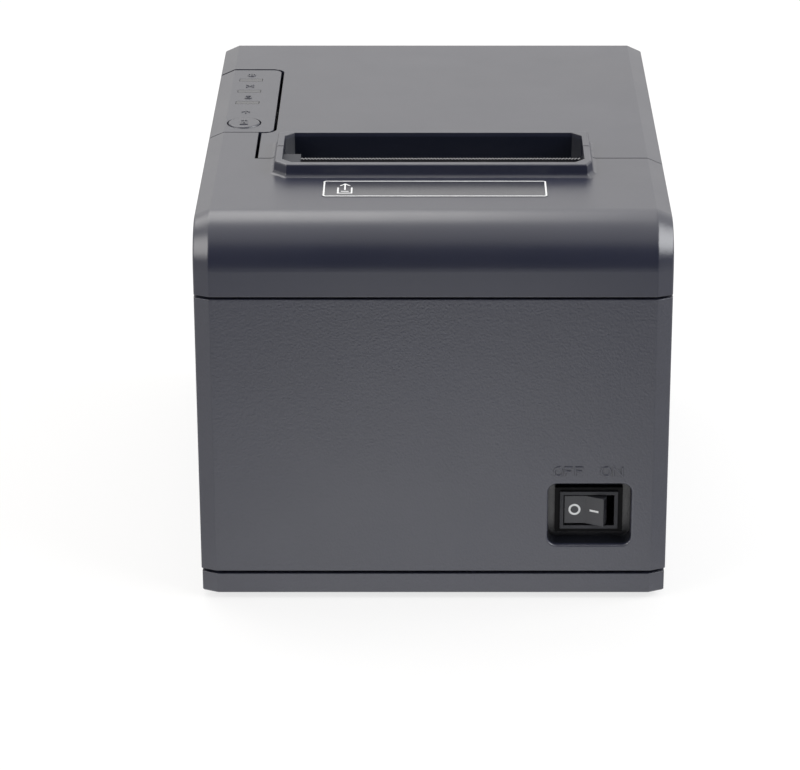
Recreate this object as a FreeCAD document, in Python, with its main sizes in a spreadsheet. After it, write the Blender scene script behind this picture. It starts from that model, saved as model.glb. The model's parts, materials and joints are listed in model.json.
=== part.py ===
import FreeCAD, Part

import math
import os
import re

import Sketcher

# Receipt printer for 80 mm paper. Origin on the table under the middle of the case, Z up, front at -Y, in mm.
SIZES = {
    # Case: outer size, walls, seams and edges
    "body_width": 145,
    "body_depth": 185,
    "body_height": 124.5,
    "wall": 2.5,
    "foot_gap": 2,
    "base_top": 8.7,
    "base_seam": 1.2,
    "base_inset": 0.3,
    "base_bevel": 0.5,
    "upper_rise": 23.9,
    "cover_seam": 0.9,
    "front_round": 15,
    "rear_round": 3,
    "bevel_face": 4.8,
    "bevel_side": 2.1,
    "bevel_soft": 0.8,
    "tongue": 1.2,
    "tongue_rise": 3,
    "tongue_root": 3,
    "fit_gap": 0.3,
    # Feet and case screws
    "foot_radius": 6,
    "foot_recess": 0.8,
    "foot_inset_side": 24,
    "foot_inset_end": 27,
    "boss_inset_side": 10.5,
    "boss_inset_end": 12,
    "boss_radius": 5,
    "post_width": 11,
    "post_depth": 14,
    "post_top": 40,
    "screw_radius": 1.5,
    "screw_head_radius": 2.9,
    "screw_head_height": 2,
    "screw_length": 16,
    "screw_clear": 0.3,
    "case_screw_seat": 7,
    # Seams of the upper case
    "lid_start": 62,
    "lid_seam": 0.5,
    "panel_width": 20.8,
    "panel_start": 87.7,
    "panel_length": 66.1,
    "panel_side_gap": 1,
    "panel_end_gap": 0.5,
    "panel_rear_gap": 1.2,
    "panel_lid_gap": 1.1,
    "panel_corner": 3,
    "panel_wall": 2,
    "strip_width": 16.1,
    "strip_gap": 1,
    # Paper well with its raised rim
    "well_side": 25.3,
    "well_lead": 15.9,
    "well_length": 28.6,
    "well_drop": 10,
    "well_floor_thick": 2,
    "well_corner": 3,
    "rim_width": 2.2,
    "rim_rise": 4.1,
    "rim_flare": 0.7,
    "rim_soft": 0.7,
    "rim_foot": 1.6,
    "exit_lead": 2.5,
    "exit_width": 5.2,
    "tear_lead": 8.5,
    "tear_bar_thick": 0.9,
    "tear_bar_end": 0.8,
    "corner_width": 5.6,
    "corner_depth": 4.9,
    "tear_bar_drop": 1.1,
    "tear_pitch": 1,
    "tear_depth": 0.35,
    "block_drop": 1.6,
    # Lid hinge
    "hinge_drop": 6.6,
    "hinge_radius": 2.5,
    "hinge_pin_radius": 1.25,
    "hinge_side": 22.5,
    "hinge_tongue": 14,
    "hinge_gap": 0.5,
    "hinge_block": 4,
    "run_gap": 0.05,
    # Lid latch and release button
    "latch_back": 10.5,
    "latch_side": 10.5,
    "latch_drop": 43.5,
    "latch_width": 12,
    "latch_arm": 3,
    "latch_reach": 6.2,
    "latch_nose": 2.4,
    "latch_rise": 29.8,
    "latch_tail_drop": 10,
    "latch_pin_radius": 1.5,
    "latch_boss": 3,
    "ear_thick": 2.5,
    "ear_half": 3.2,
    "catch_depth": 3.8,
    "catch_height": 2.7,
    "release_drop": 34,
    "release_length": 21.2,
    "release_height": 8.6,
    "release_gap": 0.4,
    "release_flange": 2,
    "release_flange_lip": 1.5,
    "release_proud": 0.1,
    "release_stub": 3,
    "latch_spring_radius": 2.2,
    "latch_spring_wire": 0.35,
    "latch_spring_lift": 0.5,
    # Power switch
    "pocket_side": 24.1,
    "pocket_z": 29.1,
    "pocket_width": 25.8,
    "pocket_height": 20.8,
    "pocket_depth": 7,
    "pocket_corner": 2.8,
    "pocket_wall": 2,
    "pocket_soft": 0.7,
    "switch_drop": 0.5,
    "switch_frame_width": 21,
    "switch_frame_height": 15,
    "switch_frame_thick": 2,
    "switch_body_width": 19,
    "switch_body_height": 13,
    "switch_body_depth": 16,
    "switch_well_width": 15.8,
    "switch_well_height": 10.4,
    "switch_well_depth": 12,
    "switch_lip": 1.1,
    "switch_lip_rise": 0.6,
    "rocker_height": 9.4,
    "rocker_pivot": 5.45,
    "rocker_face": 6.2,
    "rocker_valley": 5.6,
    "rocker_ridge": 7,
    "rocker_shoulder": 6.6,
    "rocker_shoulder_level": 4,
    "rocker_heel": 6,
    "rocker_sole": 3.4,
    "rocker_tilt": 13,
    "rocker_pin_radius": 1.2,
    "rocker_pin_length": 0.9,
    "terminal_width": 4.8,
    "terminal_pitch": 5.8,
    "terminal_thick": 0.8,
    "terminal_length": 7,
    # Control panel
    "button_side": 10.9,
    "button_start": 9.2,
    "button_radius": 5.2,
    "button_gap": 0.4,
    "button_proud": 0.3,
    "button_round": 0.6,
    "button_flange": 1,
    "button_flange_thick": 1.2,
    "button_drop": 0.3,
    "button_stem": 2,
    "button_travel": 0.75,
    "lamp_width": 7.5,
    "lamp_depth": 2.6,
    "lamp_gap": 0.15,
    "lamp_end": 11.1,
    "lamp_pitch": 12.2,
    "panel_board_drop": 10.9,
    "board_thick": 1.6,
    "panel_board_margin": 1.5,
    "panel_post_radius": 2,
    "tact_size": 6,
    "tact_height": 3.4,
    "led_width": 3.2,
    "led_depth": 1.8,
    "led_height": 1.4,
    "ribbon_width": 10,
    "ribbon_thick": 0.6,
    "ribbon_start": 26.8,
    # Paper bay
    "bay_side": 31.5,
    "bay_wall": 2.5,
    "bay_front_gap": 4.5,
    "bay_rear_gap": 9.5,
    "bay_under_gap": 5.1,
    "bay_drop": 27.5,
    "cheek_drop": 16.5,
    "bay_front_drop": 36.5,
    "deck_drop": 66,
    "deck_start": 26.5,
    "deck_side": 20.5,
    "leg_width": 8,
    "leg_start": 42.5,
    "leg_end": 26.5,
    "leg_bite": 0.5,
    "sensor_x": 10,
    "sensor_drop": 50.5,
    "sensor_width": 8,
    "sensor_height": 5.6,
    "sensor_depth": 7,
    # Print mechanism
    "plate_side": 25.5,
    "plate_thick": 2.6,
    "frame_lead": 25.5,
    "frame_length": 43,
    "frame_floor": 2.5,
    "plate_drop": 15.5,
    "front_wall_drop": 24.5,
    "platen_back": 6.5,
    "platen_drop": 25.5,
    "platen_radius": 6,
    "platen_side": 31.5,
    "shaft_radius": 2.5,
    "shaft_tip_radius": 2,
    "shaft_side": 22.7,
    "bushing_radius": 4.2,
    "bushing_gap": 0.4,
    "bushing_hub": 1,
    "notch_gap": 1.2,
    "gear_module": 0.8,
    "gear_gap": 0.1,
    "gear_addendum": 0.9,
    "gear_dedendum": 1.2,
    "gear_pressure": 20,
    "end_play": 0.2,
    "gear_side": 22.1,
    "gear_thick": 4,
    "platen_teeth": 20,
    "idler_teeth": 24,
    "pinion_teeth": 12,
    "idler_angle": 20.7,
    "motor_angle": 60,
    "axle_radius": 1.5,
    "axle_head": 0.8,
    "axle_rim": 1.2,
    "motor_radius": 10,
    "motor_length": 30,
    "motor_shaft": 1,
    "carrier_thick": 2.5,
    "carrier_side": 26.5,
    "carrier_lead": 4.5,
    "carrier_rise": 8.5,
    "carrier_sink": 4,
    "beam_start": 8,
    "beam_end": 16,
    "beam_rise": 5.6,
    "carrier_screw_side": 37.5,
    "carrier_screw_back": 12.7,
    # Print head
    "head_gap": 0.4,
    "head_plate": 1,
    "head_sink": 5.5,
    "sink_down": 14,
    "sink_up": 5,
    "head_plate_down": 10,
    "head_plate_up": 3,
    "head_pivot_down": 11,
    "head_pin_radius": 1.5,
    "head_fins": 9,
    "head_fin_depth": 2.4,
    "head_fin_width": 3,
    "head_spring_side": 60.5,
    "head_spring_down": 2,
    "head_spring_radius": 2.6,
    "head_spring_wire": 0.4,
    "spring_turns": 6,
    # Cutter
    "bed_thick": 0.9,
    "bed_lead": 29.5,
    "rail_side": 30.5,
    "rail_lip": 4,
    "rail_lip_thick": 1.6,
    "blade_gap": 0.12,
    "blade_thick": 1.2,
    "blade_side": 30.8,
    "blade_depth": 12,
    "blade_vee": 2.4,
    "blade_back": 1.6,
    "rack_length": 17,
    "rack_width": 5,
    "fixed_blade_depth": 13,
    "fixed_blade_lead": 0.6,
    "cutter_side": 45.1,
    "cutter_room": 5.4,
    "cutter_teeth": 24,
    "cutter_pinion_teeth": 10,
    "cutter_drop": 21.1,
    "cutter_gear_thick": 4,
    "cutter_motor_radius": 8.6,
    "cutter_motor_length": 28,
    "cutter_shelf": 2.5,
    "cutter_post": 3,
    # Main board and sockets
    "board_z": 12.8,
    "board_side": 30.5,
    "board_start": 86.5,
    "board_end": 5.5,
    "standoff_radius": 3,
    "standoff_inset": 5,
    "standoff_rear": 15,
    "socket_inset": 1.4,
    "socket_gap": 0.4,
    "usb_x": -29,
    "usb_width": 12,
    "usb_height": 11,
    "usb_length": 16,
    "usb_mouth_width": 8.6,
    "usb_mouth_height": 7.9,
    "usb_mouth_depth": 9,
    "usb_tongue_width": 5.6,
    "usb_tongue_height": 3.2,
    "network_x": -9,
    "network_width": 16,
    "network_height": 13.4,
    "network_length": 18,
    "network_mouth_width": 11.8,
    "network_mouth_height": 6.8,
    "network_mouth_depth": 13,
    "drawer_x": 10,
    "drawer_width": 13.2,
    "drawer_height": 12.4,
    "drawer_length": 16,
    "drawer_mouth_width": 9.8,
    "drawer_mouth_height": 6.8,
    "drawer_mouth_depth": 12,
    "key_width": 4.2,
    "key_height": 2.6,
    "mouth_floor": 2,
    "inlet_x": 29,
    "inlet_width": 14,
    "inlet_height": 13,
    "inlet_length": 15,
    "inlet_bore": 4.7,
    "inlet_depth": 10,
    "inlet_pin_radius": 0.6,
    "inlet_pin_circle": 2.2,
    "inlet_pin_length": 7,
    "processor_size": 14,
    "processor_height": 1.4,
    "chip_size": 7,
    "capacitor_radius": 4,
    "capacitor_height": 6,
    "buzzer_radius": 5,
    "buzzer_height": 4.6,
    "part_side": 22,
    "part_row": 8,
    "buzzer_row": 12,
    # Cover switch
    "cover_switch_width": 6,
    "cover_switch_depth": 13,
    "cover_switch_height": 7,
    "cover_switch_drop": 30.5,
    "cover_switch_lever": 0.4,
}

# Places that follow from the sizes: sides from the case wall, depths from its front, levels from its top
PLACES = {
    "housing_top": "body_height-upper_rise",
    "lid_front": "lid_start-body_depth/2",
    "panel_right": "panel_width-body_width/2",
    "panel_front": "panel_start-body_depth/2",
    "panel_rear": "panel_front+panel_length",
    "strip_right": "strip_width-body_width/2",
    "well_half": "body_width/2-well_side",
    "well_front": "lid_front-well_lead",
    "well_rear": "well_front+well_length",
    "well_floor": "body_height-well_drop",
    "exit_front": "lid_front-exit_lead",
    "tear_rear": "lid_front-tear_lead",
    "tear_bar_right": "well_half-tear_bar_end",
    "tear_bar_left": "corner_width-well_half",
    "hinge_middle": "body_width/2-hinge_side",
    "latch_x": "body_width/2-latch_side",
    "latch_y": "lid_front+latch_back",
    "latch_z": "body_height-latch_drop",
    "latch_top": "latch_z+latch_rise",
    "latch_tail": "latch_z-latch_tail_drop",
    "release_z": "body_height-release_drop",
    "pocket_middle": "body_width/2-pocket_side",
    "switch_z": "pocket_z-switch_drop",
    "button_x": "button_side-body_width/2",
    "button_y": "panel_front+button_start",
    "lamp_rear": "panel_rear-lamp_end",
    "panel_board_z": "body_height-panel_board_drop",
    "ribbon_y": "panel_front+ribbon_start",
    "deck_z": "body_height-deck_drop",
    "deck_front": "deck_start-body_depth/2",
    "deck_half": "body_width/2-deck_side",
    "plate_inner": "body_width/2-plate_side",
    "plate_top": "body_height-plate_drop",
    "frame_front": "lid_front-frame_lead",
    "frame_rear": "frame_front+frame_length",
    "front_wall_top": "body_height-front_wall_drop",
    "bay_half": "body_width/2-bay_side",
    "bay_start": "frame_rear+bay_front_gap",
    "bay_end": "body_depth/2-wall-bay_rear_gap",
    "bay_y": "(bay_start+bay_end)/2",
    "bay_radius": "(bay_end-bay_start)/2-bay_wall",
    "bay_z": "board_z+board_thick+bay_under_gap+bay_wall+bay_radius",
    "bay_top": "body_height-bay_drop",
    "bay_front_top": "body_height-bay_front_drop",
    "leg_front": "leg_start-body_depth/2",
    "leg_rear": "body_depth/2-leg_end",
    "sensor_z": "body_height-sensor_drop",
    "platen_y": "lid_front+platen_back",
    "platen_z": "body_height-platen_drop",
    "platen_half": "body_width/2-platen_side",
    "shaft_end": "body_width/2-shaft_side",
    "gear_x": "body_width/2-gear_side",
    "carrier_outer": "body_width/2-carrier_side",
    "carrier_front": "platen_y-carrier_lead",
    "carrier_top": "platen_z+carrier_rise",
    "carrier_low": "platen_z-carrier_sink",
    "beam_front": "platen_y+beam_start",
    "beam_rear": "platen_y+beam_end",
    "beam_low": "platen_z+beam_rise",
    "carrier_screw_x": "body_width/2-carrier_screw_side",
    "carrier_screw_y": "platen_y+carrier_screw_back",
    "head_low": "platen_z-sink_down",
    "head_high": "platen_z+sink_up",
    "head_plate_low": "platen_z-head_plate_down",
    "head_plate_high": "platen_z+head_plate_up",
    "head_pivot_z": "platen_z-head_pivot_down",
    "head_spring_x": "body_width/2-head_spring_side",
    "head_spring_z": "platen_z-head_spring_down",
    "bed_front": "lid_front-bed_lead",
    "rail_inner": "body_width/2-rail_side",
    "blade_half": "body_width/2-blade_side",
    "cutter_x": "cutter_side-body_width/2",
    "cutter_y": "exit_front-blade_back-blade_depth-cutter_room",
    "cutter_gear_low": "body_height-cutter_drop",
    "board_half": "body_width/2-board_side",
    "part_pitch": "board_half-part_side",
    "board_rear": "body_depth/2-board_end",
    "board_front": "board_start-body_depth/2",
    "cover_switch_z": "body_height-cover_switch_drop",
}

# How close two coordinates are to count as one, and the straight steps along a gear flank
TOUCH = 1e-4
FLANK_STEPS = 3

doc = FreeCAD.newDocument("receipt_printer")
sheet = doc.addObject("Spreadsheet::Sheet", "Sizes")
for row, (alias, value) in enumerate(SIZES.items(), 1):
    sheet.set(f"A{row}", alias)
    sheet.set(f"B{row}", str(value))
    sheet.setAlias(f"B{row}", alias)
doc.recompute()
places = doc.addObject("App::VarSet", "Places")

pieces = []


def owner(word):
    """A name with the object that holds it: the sheet for a size, the set of places for a place."""
    if word in SIZES:
        return "Sizes." + word
    return "Places." + word if word in PLACES else word


def bind(thing, prop, text):
    """Ties a property to an expression in the names of sizes and places."""
    thing.setExpression(prop, re.sub(r"[a-z_]+", lambda word: owner(word[0]), str(text)))


for place, formula in PLACES.items():
    places.addProperty("App::PropertyFloat", place, "Places")
    bind(places, place, formula)
doc.recompute()


def mm(name):
    """A size or a place as a number."""
    return float(getattr(sheet if name in SIZES else places, name))


def block(name, x, y, z):
    """A box between low and high limits along each axis."""
    box = doc.addObject("Part::Box", name)
    for prop, axis, (low, high) in zip(("Length", "Width", "Height"), "xyz", (x, y, z)):
        bind(box, prop, f"({high})-({low})")
        bind(box, "Placement.Base." + axis, low)
    return box


def rod(name, axis, centre, span, radius):
    """A cylinder along one axis: centre on the other two axes in order, and limits along its own."""
    cylinder = doc.addObject("Part::Cylinder", name)
    turn = {"x": FreeCAD.Vector(0, 1, 0), "y": FreeCAD.Vector(-1, 0, 0), "z": FreeCAD.Vector(0, 0, 1)}[axis]
    angle = 0 if axis == "z" else 90
    cylinder.Placement = FreeCAD.Placement(FreeCAD.Vector(), FreeCAD.Rotation(turn, angle))
    bind(cylinder, "Radius", radius)
    bind(cylinder, "Height", f"({span[1]})-({span[0]})")
    others = [letter for letter in "xyz" if letter != axis]
    bind(cylinder, "Placement.Base." + axis, span[0])
    for letter, text in zip(others, centre):
        bind(cylinder, "Placement.Base." + letter, text)
    return cylinder


def prism(name, plane, points, span, taper=None):
    """A straight-sided outline, every corner set by two bound distances, padded between two levels.

    XY outlines pad up Z, YZ outlines along X, XZ outlines along Y."""
    body = doc.addObject("PartDesign::Body", name)
    origin = [item for item in body.Origin.OriginFeatures if item.Role == plane + "_Plane"][0]
    sketch = body.newObject("Sketcher::SketchObject", name + "_outline")
    sketch.AttachmentSupport = [(origin, "")]
    sketch.MapMode = "FlatFace"
    flipped = plane == "XZ"
    low = f"-({span[0]})" if flipped else span[0]
    bind(sketch, "AttachmentOffset.Base.z", low)
    count = len(points)
    start = [FreeCAD.Vector(math.cos(2 * math.pi * i / count), math.sin(2 * math.pi * i / count), 0)
             for i in range(count)]
    for i in range(count):
        sketch.addGeometry(Part.LineSegment(start[i], start[(i + 1) % count]), False)
    for i in range(count):
        sketch.addConstraint(Sketcher.Constraint("Coincident", i, 2, (i + 1) % count, 1))
    for i, (across, along) in enumerate(points):
        for kind, text, value in (("DistanceX", across, start[i].x), ("DistanceY", along, start[i].y)):
            index = sketch.addConstraint(Sketcher.Constraint(kind, -1, 1, i, 1, value))
            bind(sketch, f"Constraints[{index}]", text)
    pad = body.newObject("PartDesign::Pad", name + "_pad")
    pad.Profile = sketch
    pad.Reversed = flipped
    bind(pad, "Length", f"({span[1]})-({span[0]})")
    if taper:
        bind(pad, "TaperAngle", taper)
    doc.recompute()
    return body


def edges_of(shape, keep):
    return [index for index, edge in enumerate(shape.Edges, 1) if keep(edge)]


def near(edge, x=None, y=None, z=None):
    """Whether the middle of an edge lies at the given coordinates."""
    middle = edge.CenterOfMass
    return all(want is None or abs(have - want) < TOUCH for have, want in zip(middle, (x, y, z)))


def upright(edge):
    """Whether an edge runs straight up."""
    first, last = edge.Vertexes[0].Point, edge.Vertexes[-1].Point
    run = last - first
    return abs(run.x) < TOUCH and abs(run.y) < TOUCH and abs(run.z) > TOUCH


def dress(body, kind, sizes, keep, **flags):
    """A fillet or chamfer on the edges of a body that pass the test, its sizes bound."""
    base = body.Tip
    feature = body.newObject("PartDesign::" + kind, f"{body.Name}_{kind.lower()}")
    feature.Base = (base, [f"Edge{index}" for index in edges_of(base.Shape, keep)])
    for flag, value in flags.items():
        setattr(feature, flag, value)
    for prop, text in sizes.items():
        bind(feature, prop, text)
    doc.recompute()
    return body


def rounded(name, base, radius, keep):
    """Rounds edges of any object to a size on the sheet."""
    doc.recompute()
    fillet = doc.addObject("Part::Fillet", name)
    fillet.Base = base
    fillet.Edges = [(index, radius, radius) for index in edges_of(base.Shape, keep)]
    doc.recompute()
    return fillet


def joined(name, *parts):
    union = doc.addObject("Part::MultiFuse", name)
    union.Shapes = list(parts)
    union.Refine = True
    return union


def within(name, base, tool):
    overlap = doc.addObject("Part::Common", name)
    overlap.Base = base
    overlap.Tool = tool
    overlap.Refine = True
    return overlap


def without(name, base, *tools):
    difference = doc.addObject("Part::Cut", name)
    difference.Base = base
    difference.Tool = tools[0] if len(tools) == 1 else joined(name + "_tools", *tools)
    difference.Refine = True
    return difference


def group(name, *parts):
    compound = doc.addObject("Part::Compound", name)
    compound.Links = list(parts)
    return compound


def drawn(name, shape):
    """A shape worked out point by point from the sheet."""
    feature = doc.addObject("Part::Feature", name)
    feature.Shape = shape
    return feature


def piece(node, thing):
    thing.Label = node
    pieces.append((node, thing))
    return thing


def minus(text):
    return f"-({text})"


def plus(text, more):
    return f"({text})+({more})"


def about(middle, size):
    """Limits of a size centred on a middle."""
    return f"({middle})-({size})/2", f"({middle})+({size})/2"


def both(size):
    """Limits at plus and minus a half size."""
    return f"-({size})", f"({size})"


def case_outline(inset):
    """The plan of the case drawn in by an inset, with its bevelled corners."""
    x = f"(body_width/2-({inset}))"
    y = f"(body_depth/2-({inset}))"
    short_x = f"({x}-bevel_face)"
    short_y = f"({y}-bevel_side)"
    quarter = [(x, short_y), (short_x, y)]
    left = [(minus(a), b) for a, b in reversed(quarter)]
    return quarter + left + [(minus(a), minus(b)) for a, b in quarter] + [(minus(a), b) for a, b in reversed(
        [(minus(a), minus(b)) for a, b in quarter])]


FRONT = "(-body_depth/2)"
REAR = "(body_depth/2)"
HALF = "(body_width/2)"
INNER = "(body_width/2-wall)"
FLOOR = "(foot_gap+wall)"
HOUSING_LOW = "(base_top+base_seam)"
COVER_LOW = "(housing_top+cover_seam)"
UNDER_TOP = "(body_height-wall)"
RIM_TOP = "(body_height+rim_rise)"
TONGUE_TOP = "(housing_top+cover_seam+tongue_rise)"
BASE_TONGUE_TOP = "(base_top+base_seam+tongue_rise)"
FAR = "body_height"
corners = [(sx, sy) for sx in (1, -1) for sy in (1, -1)]


def signed(sign, text):
    return f"{sign}*({text})"


def screw(name, axis, centre, seat, length, way):
    """A pan-head screw: the head on one side of its seat, the shank on the other."""
    head_end = plus(seat, f"{-way}*screw_head_height")
    shank_end = plus(seat, f"{way}*({length})")
    head_span = (head_end, seat) if way > 0 else (seat, head_end)
    shank_span = (seat, shank_end) if way > 0 else (shank_end, seat)
    head = rod(name + "_head", axis, centre, head_span, "screw_head_radius")
    shank = rod(name + "_shank", axis, centre, shank_span, "screw_radius")
    slot_at = (head_end, plus(head_end, f"{way}*screw_head_height/2"))
    slot_span = slot_at if way > 0 else tuple(reversed(slot_at))
    limits = {axis: slot_span}
    others = [letter for letter in "xyz" if letter != axis]
    limits[others[0]] = about(centre[0], "screw_head_radius*3")
    limits[others[1]] = about(centre[1], "screw_radius/2")
    slot = block(name + "_slot", limits["x"], limits["y"], limits["z"])
    return without(name, joined(name + "_solid", head, shank), slot)


# Base tray: floor, bevelled foot edge, tongue behind the seam, screw bosses and board standoffs
boss_x = "(body_width/2-boss_inset_side)"
boss_y = "(body_depth/2-boss_inset_end)"
foot_x = "(body_width/2-foot_inset_side)"
foot_y = "(body_depth/2-foot_inset_end)"
stand_x = "(board_half-standoff_inset)"
board_ends = ("(board_front+standoff_inset)", "(board_rear-standoff_rear)")
base_block = prism("base_block", "XY", case_outline("base_inset"), ("foot_gap", "base_top"))
dress(base_block, "Chamfer", {"Size": "base_bevel"}, lambda edge: near(edge, z=mm("foot_gap")))
base_tongue = prism("base_tongue", "XY", case_outline("wall+fit_gap"), (FLOOR, BASE_TONGUE_TOP))
base_hollow = prism("base_hollow", "XY", case_outline("wall+fit_gap+tongue"), (FLOOR, FAR))
base_shell = without("base_shell", joined("base_walls", base_block, base_tongue), base_hollow)
base_adds = [base_shell]
base_cuts = []
feet = []
case_screws = []
for number, (sx, sy) in enumerate(corners):
    at = (signed(sx, boss_x), signed(sy, boss_y))
    base_adds.append(rod(f"base_boss_{number}", "z", at, (FLOOR, BASE_TONGUE_TOP), "boss_radius"))
    base_cuts.append(rod(f"base_bore_{number}", "z", at, ("0", FAR), "screw_radius+screw_clear"))
    base_cuts.append(
        rod(f"base_sink_{number}", "z", at, ("0", "case_screw_seat"), "screw_head_radius+screw_clear")
    )
    case_screws.append(screw(f"case_screw_{number}", "z", at, "case_screw_seat", "screw_length", 1))
    at = (signed(sx, foot_x), signed(sy, foot_y))
    base_cuts.append(
        rod(f"foot_recess_{number}", "z", at, ("0", "foot_gap+foot_recess"), "foot_radius+fit_gap")
    )
    feet.append(rod(f"foot_{number}", "z", at, ("0", "foot_gap+foot_recess"), "foot_radius"))
board_screws = []
for number, (sx, end) in enumerate([(sx, end) for sx in (1, -1) for end in board_ends]):
    at = (signed(sx, stand_x), end)
    base_adds.append(rod(f"standoff_{number}", "z", at, (FLOOR, "board_z"), "standoff_radius"))
    base_cuts.append(rod(f"standoff_bore_{number}", "z", at, (FLOOR, FAR), "screw_radius+run_gap"))
    board_screws.append(
        screw(f"board_screw_{number}", "z", at, "board_z+board_thick", "board_z-foot_gap-wall", -1)
    )
piece("base_tray", without("base_tray_solid", joined("base_body", *base_adds), *base_cuts))
piece("rubber_feet", group("feet_group", *feet))
piece("base_screws", group("case_screw_group", *case_screws))

# Main housing: four walls, corner posts, upper tongue, switch pocket, hinge notches, latch ears
housing_block = prism("housing_block", "XY", case_outline("0"), (HOUSING_LOW, "housing_top"))
dress(housing_block, "Fillet", {"Radius": "bevel_soft"}, upright)
housing_walls = without(
    "housing_walls",
    housing_block,
    prism("housing_hollow", "XY", case_outline("wall"), ("0", FAR)))
tongue_low = prism("tongue_low", "XY", case_outline("wall"), ("housing_top-tongue_root", "housing_top"))
tongue_high = prism("tongue_high", "XY", case_outline("wall+fit_gap"), ("housing_top", TONGUE_TOP))
tongue_hollow = prism("tongue_hollow", "XY", case_outline("wall+fit_gap+tongue"), ("0", FAR))
upper_tongue = without("upper_tongue", joined("tongue_block", tongue_low, tongue_high), tongue_hollow)
housing_adds = [housing_walls, upper_tongue]
housing_cuts = []
for number, (sx, sy) in enumerate(corners):
    x = (f"{INNER}-post_width", INNER) if sx > 0 else (minus(INNER), f"-{INNER}+post_width")
    inner_y = "(body_depth/2-wall)"
    y = (f"{inner_y}-post_depth", inner_y) if sy > 0 else (minus(inner_y), f"-{inner_y}+post_depth")
    housing_adds.append(block(f"post_{number}", x, y, (f"{BASE_TONGUE_TOP}+fit_gap", "post_top")))
    at = (signed(sx, boss_x), signed(sy, boss_y))
    housing_cuts.append(
        rod(
            f"post_bore_{number}",
            "z",
            at,
            (HOUSING_LOW, "case_screw_seat+screw_length+wall"),
            "screw_radius+run_gap",
        ),
    )
pocket_back = f"({FRONT}+pocket_depth)"
housing_adds.append(
    block(
        "pocket_walls",
        about("pocket_middle", "pocket_width+2*pocket_wall"),
        (FRONT, f"{pocket_back}+pocket_wall"),
        about("pocket_z", "pocket_height+2*pocket_wall"),
    ),
)
pocket_block = block("pocket_block", about("pocket_middle", "pocket_width"), (f"{FRONT}-wall", pocket_back),
                     about("pocket_z", "pocket_height"))
doc.recompute()
housing_cuts.append(rounded(
    "pocket_hollow", pocket_block, mm("pocket_corner"),
    lambda edge: abs(edge.Vertexes[0].Y - edge.Vertexes[1].Y) > mm("pocket_depth")))
housing_cuts.append(
    block(
        "switch_opening",
        about("pocket_middle", "switch_body_width+2*run_gap"),
        (FRONT, f"{pocket_back}+pocket_wall+wall"),
        about("switch_z", "switch_body_height+2*run_gap"),
    ),
)
hinge_y = "(body_depth/2-wall)"
hinge_z = "(housing_top-hinge_drop)"
hinge_pins = []
for number, side in enumerate((1, -1)):
    middle = signed(side, "hinge_middle")
    notch = about(middle, "hinge_tongue+2*hinge_gap")
    low = f"{hinge_z}-hinge_radius-hinge_gap"
    housing_adds.append(
        block(
            f"hinge_block_{number}",
            about(middle, "hinge_tongue+2*hinge_gap+2*hinge_block"),
            (f"{hinge_y}-hinge_radius-hinge_gap-wall", f"{hinge_y}+wall/2"),
            (f"{low}-wall*2", f"{hinge_z}+hinge_radius"),
        ),
    )
    housing_cuts.append(block(
        f"hinge_notch_{number}", notch, (f"{hinge_y}-hinge_radius-hinge_gap", f"{REAR}+wall"), (low, FAR)))
    housing_cuts.append(rod(
        f"hinge_seat_{number}", "x", (hinge_y, hinge_z),
        about(middle, "hinge_tongue+2*hinge_gap+2*hinge_block-wall"), "hinge_pin_radius+run_gap/2"))
    hinge_pins.append(rod(
        f"hinge_pin_{number}", "x", (hinge_y, hinge_z),
        about(middle, "hinge_tongue+2*hinge_gap+2*hinge_block-wall-fit_gap"), "hinge_pin_radius"))
ear_inner = "latch_width/2+hinge_gap"
for number, side in enumerate((1, -1)):
    near_end = plus("latch_y", signed(side, ear_inner))
    far_end = plus("latch_y", signed(side, f"{ear_inner}+ear_thick"))
    ear_y = (near_end, far_end) if side > 0 else (far_end, near_end)
    housing_adds.append(block(f"latch_ear_{number}", ("latch_x-ear_half", f"{INNER}+wall/2"), ear_y,
                              about("latch_z", "2*ear_half")))
housing_cuts.append(rod("latch_ear_bore", "y", ("latch_x", "latch_z"),
                        about("latch_y", f"2*({ear_inner}+ear_thick+wall)"), "latch_pin_radius+run_gap/2"))
housing_cuts.append(block(
    "release_window", (f"{INNER}-run_gap", f"{HALF}+wall"), about("latch_y", "release_length+2*release_gap"),
    about("release_z", "release_height+2*release_gap")))
sockets = {
    "usb": ("usb_x", "usb_width", "usb_height"),
    "network": ("network_x", "network_width", "network_height"),
    "drawer": ("drawer_x", "drawer_width", "drawer_height"),
    "inlet": ("inlet_x", "inlet_width", "inlet_height"),
}
BOARD_TOP = "(board_z+board_thick)"
for name, (x, width, height) in sockets.items():
    housing_cuts.append(block(
        f"{name}_window", about(x, f"{width}+2*socket_gap"), (f"{REAR}-wall*2", f"{REAR}+wall"),
        (f"{BOARD_TOP}-socket_gap", f"{BOARD_TOP}+{height}+socket_gap")))


def pocket_mouth(edge):
    """Whether an edge lies round the mouth of the switch pocket."""
    middle = edge.CenterOfMass
    return (near(edge, y=-mm("body_depth") / 2)
            and abs(middle.x - mm("pocket_middle")) < mm("pocket_width") / 2 + TOUCH
            and abs(middle.z - mm("pocket_z")) < mm("pocket_height") / 2 + TOUCH)


housing_solid = without("housing_solid", joined("housing_body", *housing_adds), *housing_cuts)
piece("main_housing", rounded("housing_soft", housing_solid, mm("pocket_soft"), pocket_mouth))
piece("hinge_pins", group("hinge_pin_group", *hinge_pins))


def on_bevel(edge, side):
    """Whether an edge is one of the two long edges of a side bevel."""
    first, last = edge.Vertexes[0].X, edge.Vertexes[-1].X
    outer = abs(abs(first) - side) < TOUCH
    inner = abs(abs(first) - side + mm("bevel_face")) < TOUCH
    return abs(first - last) < TOUCH and (outer or inner)


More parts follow.
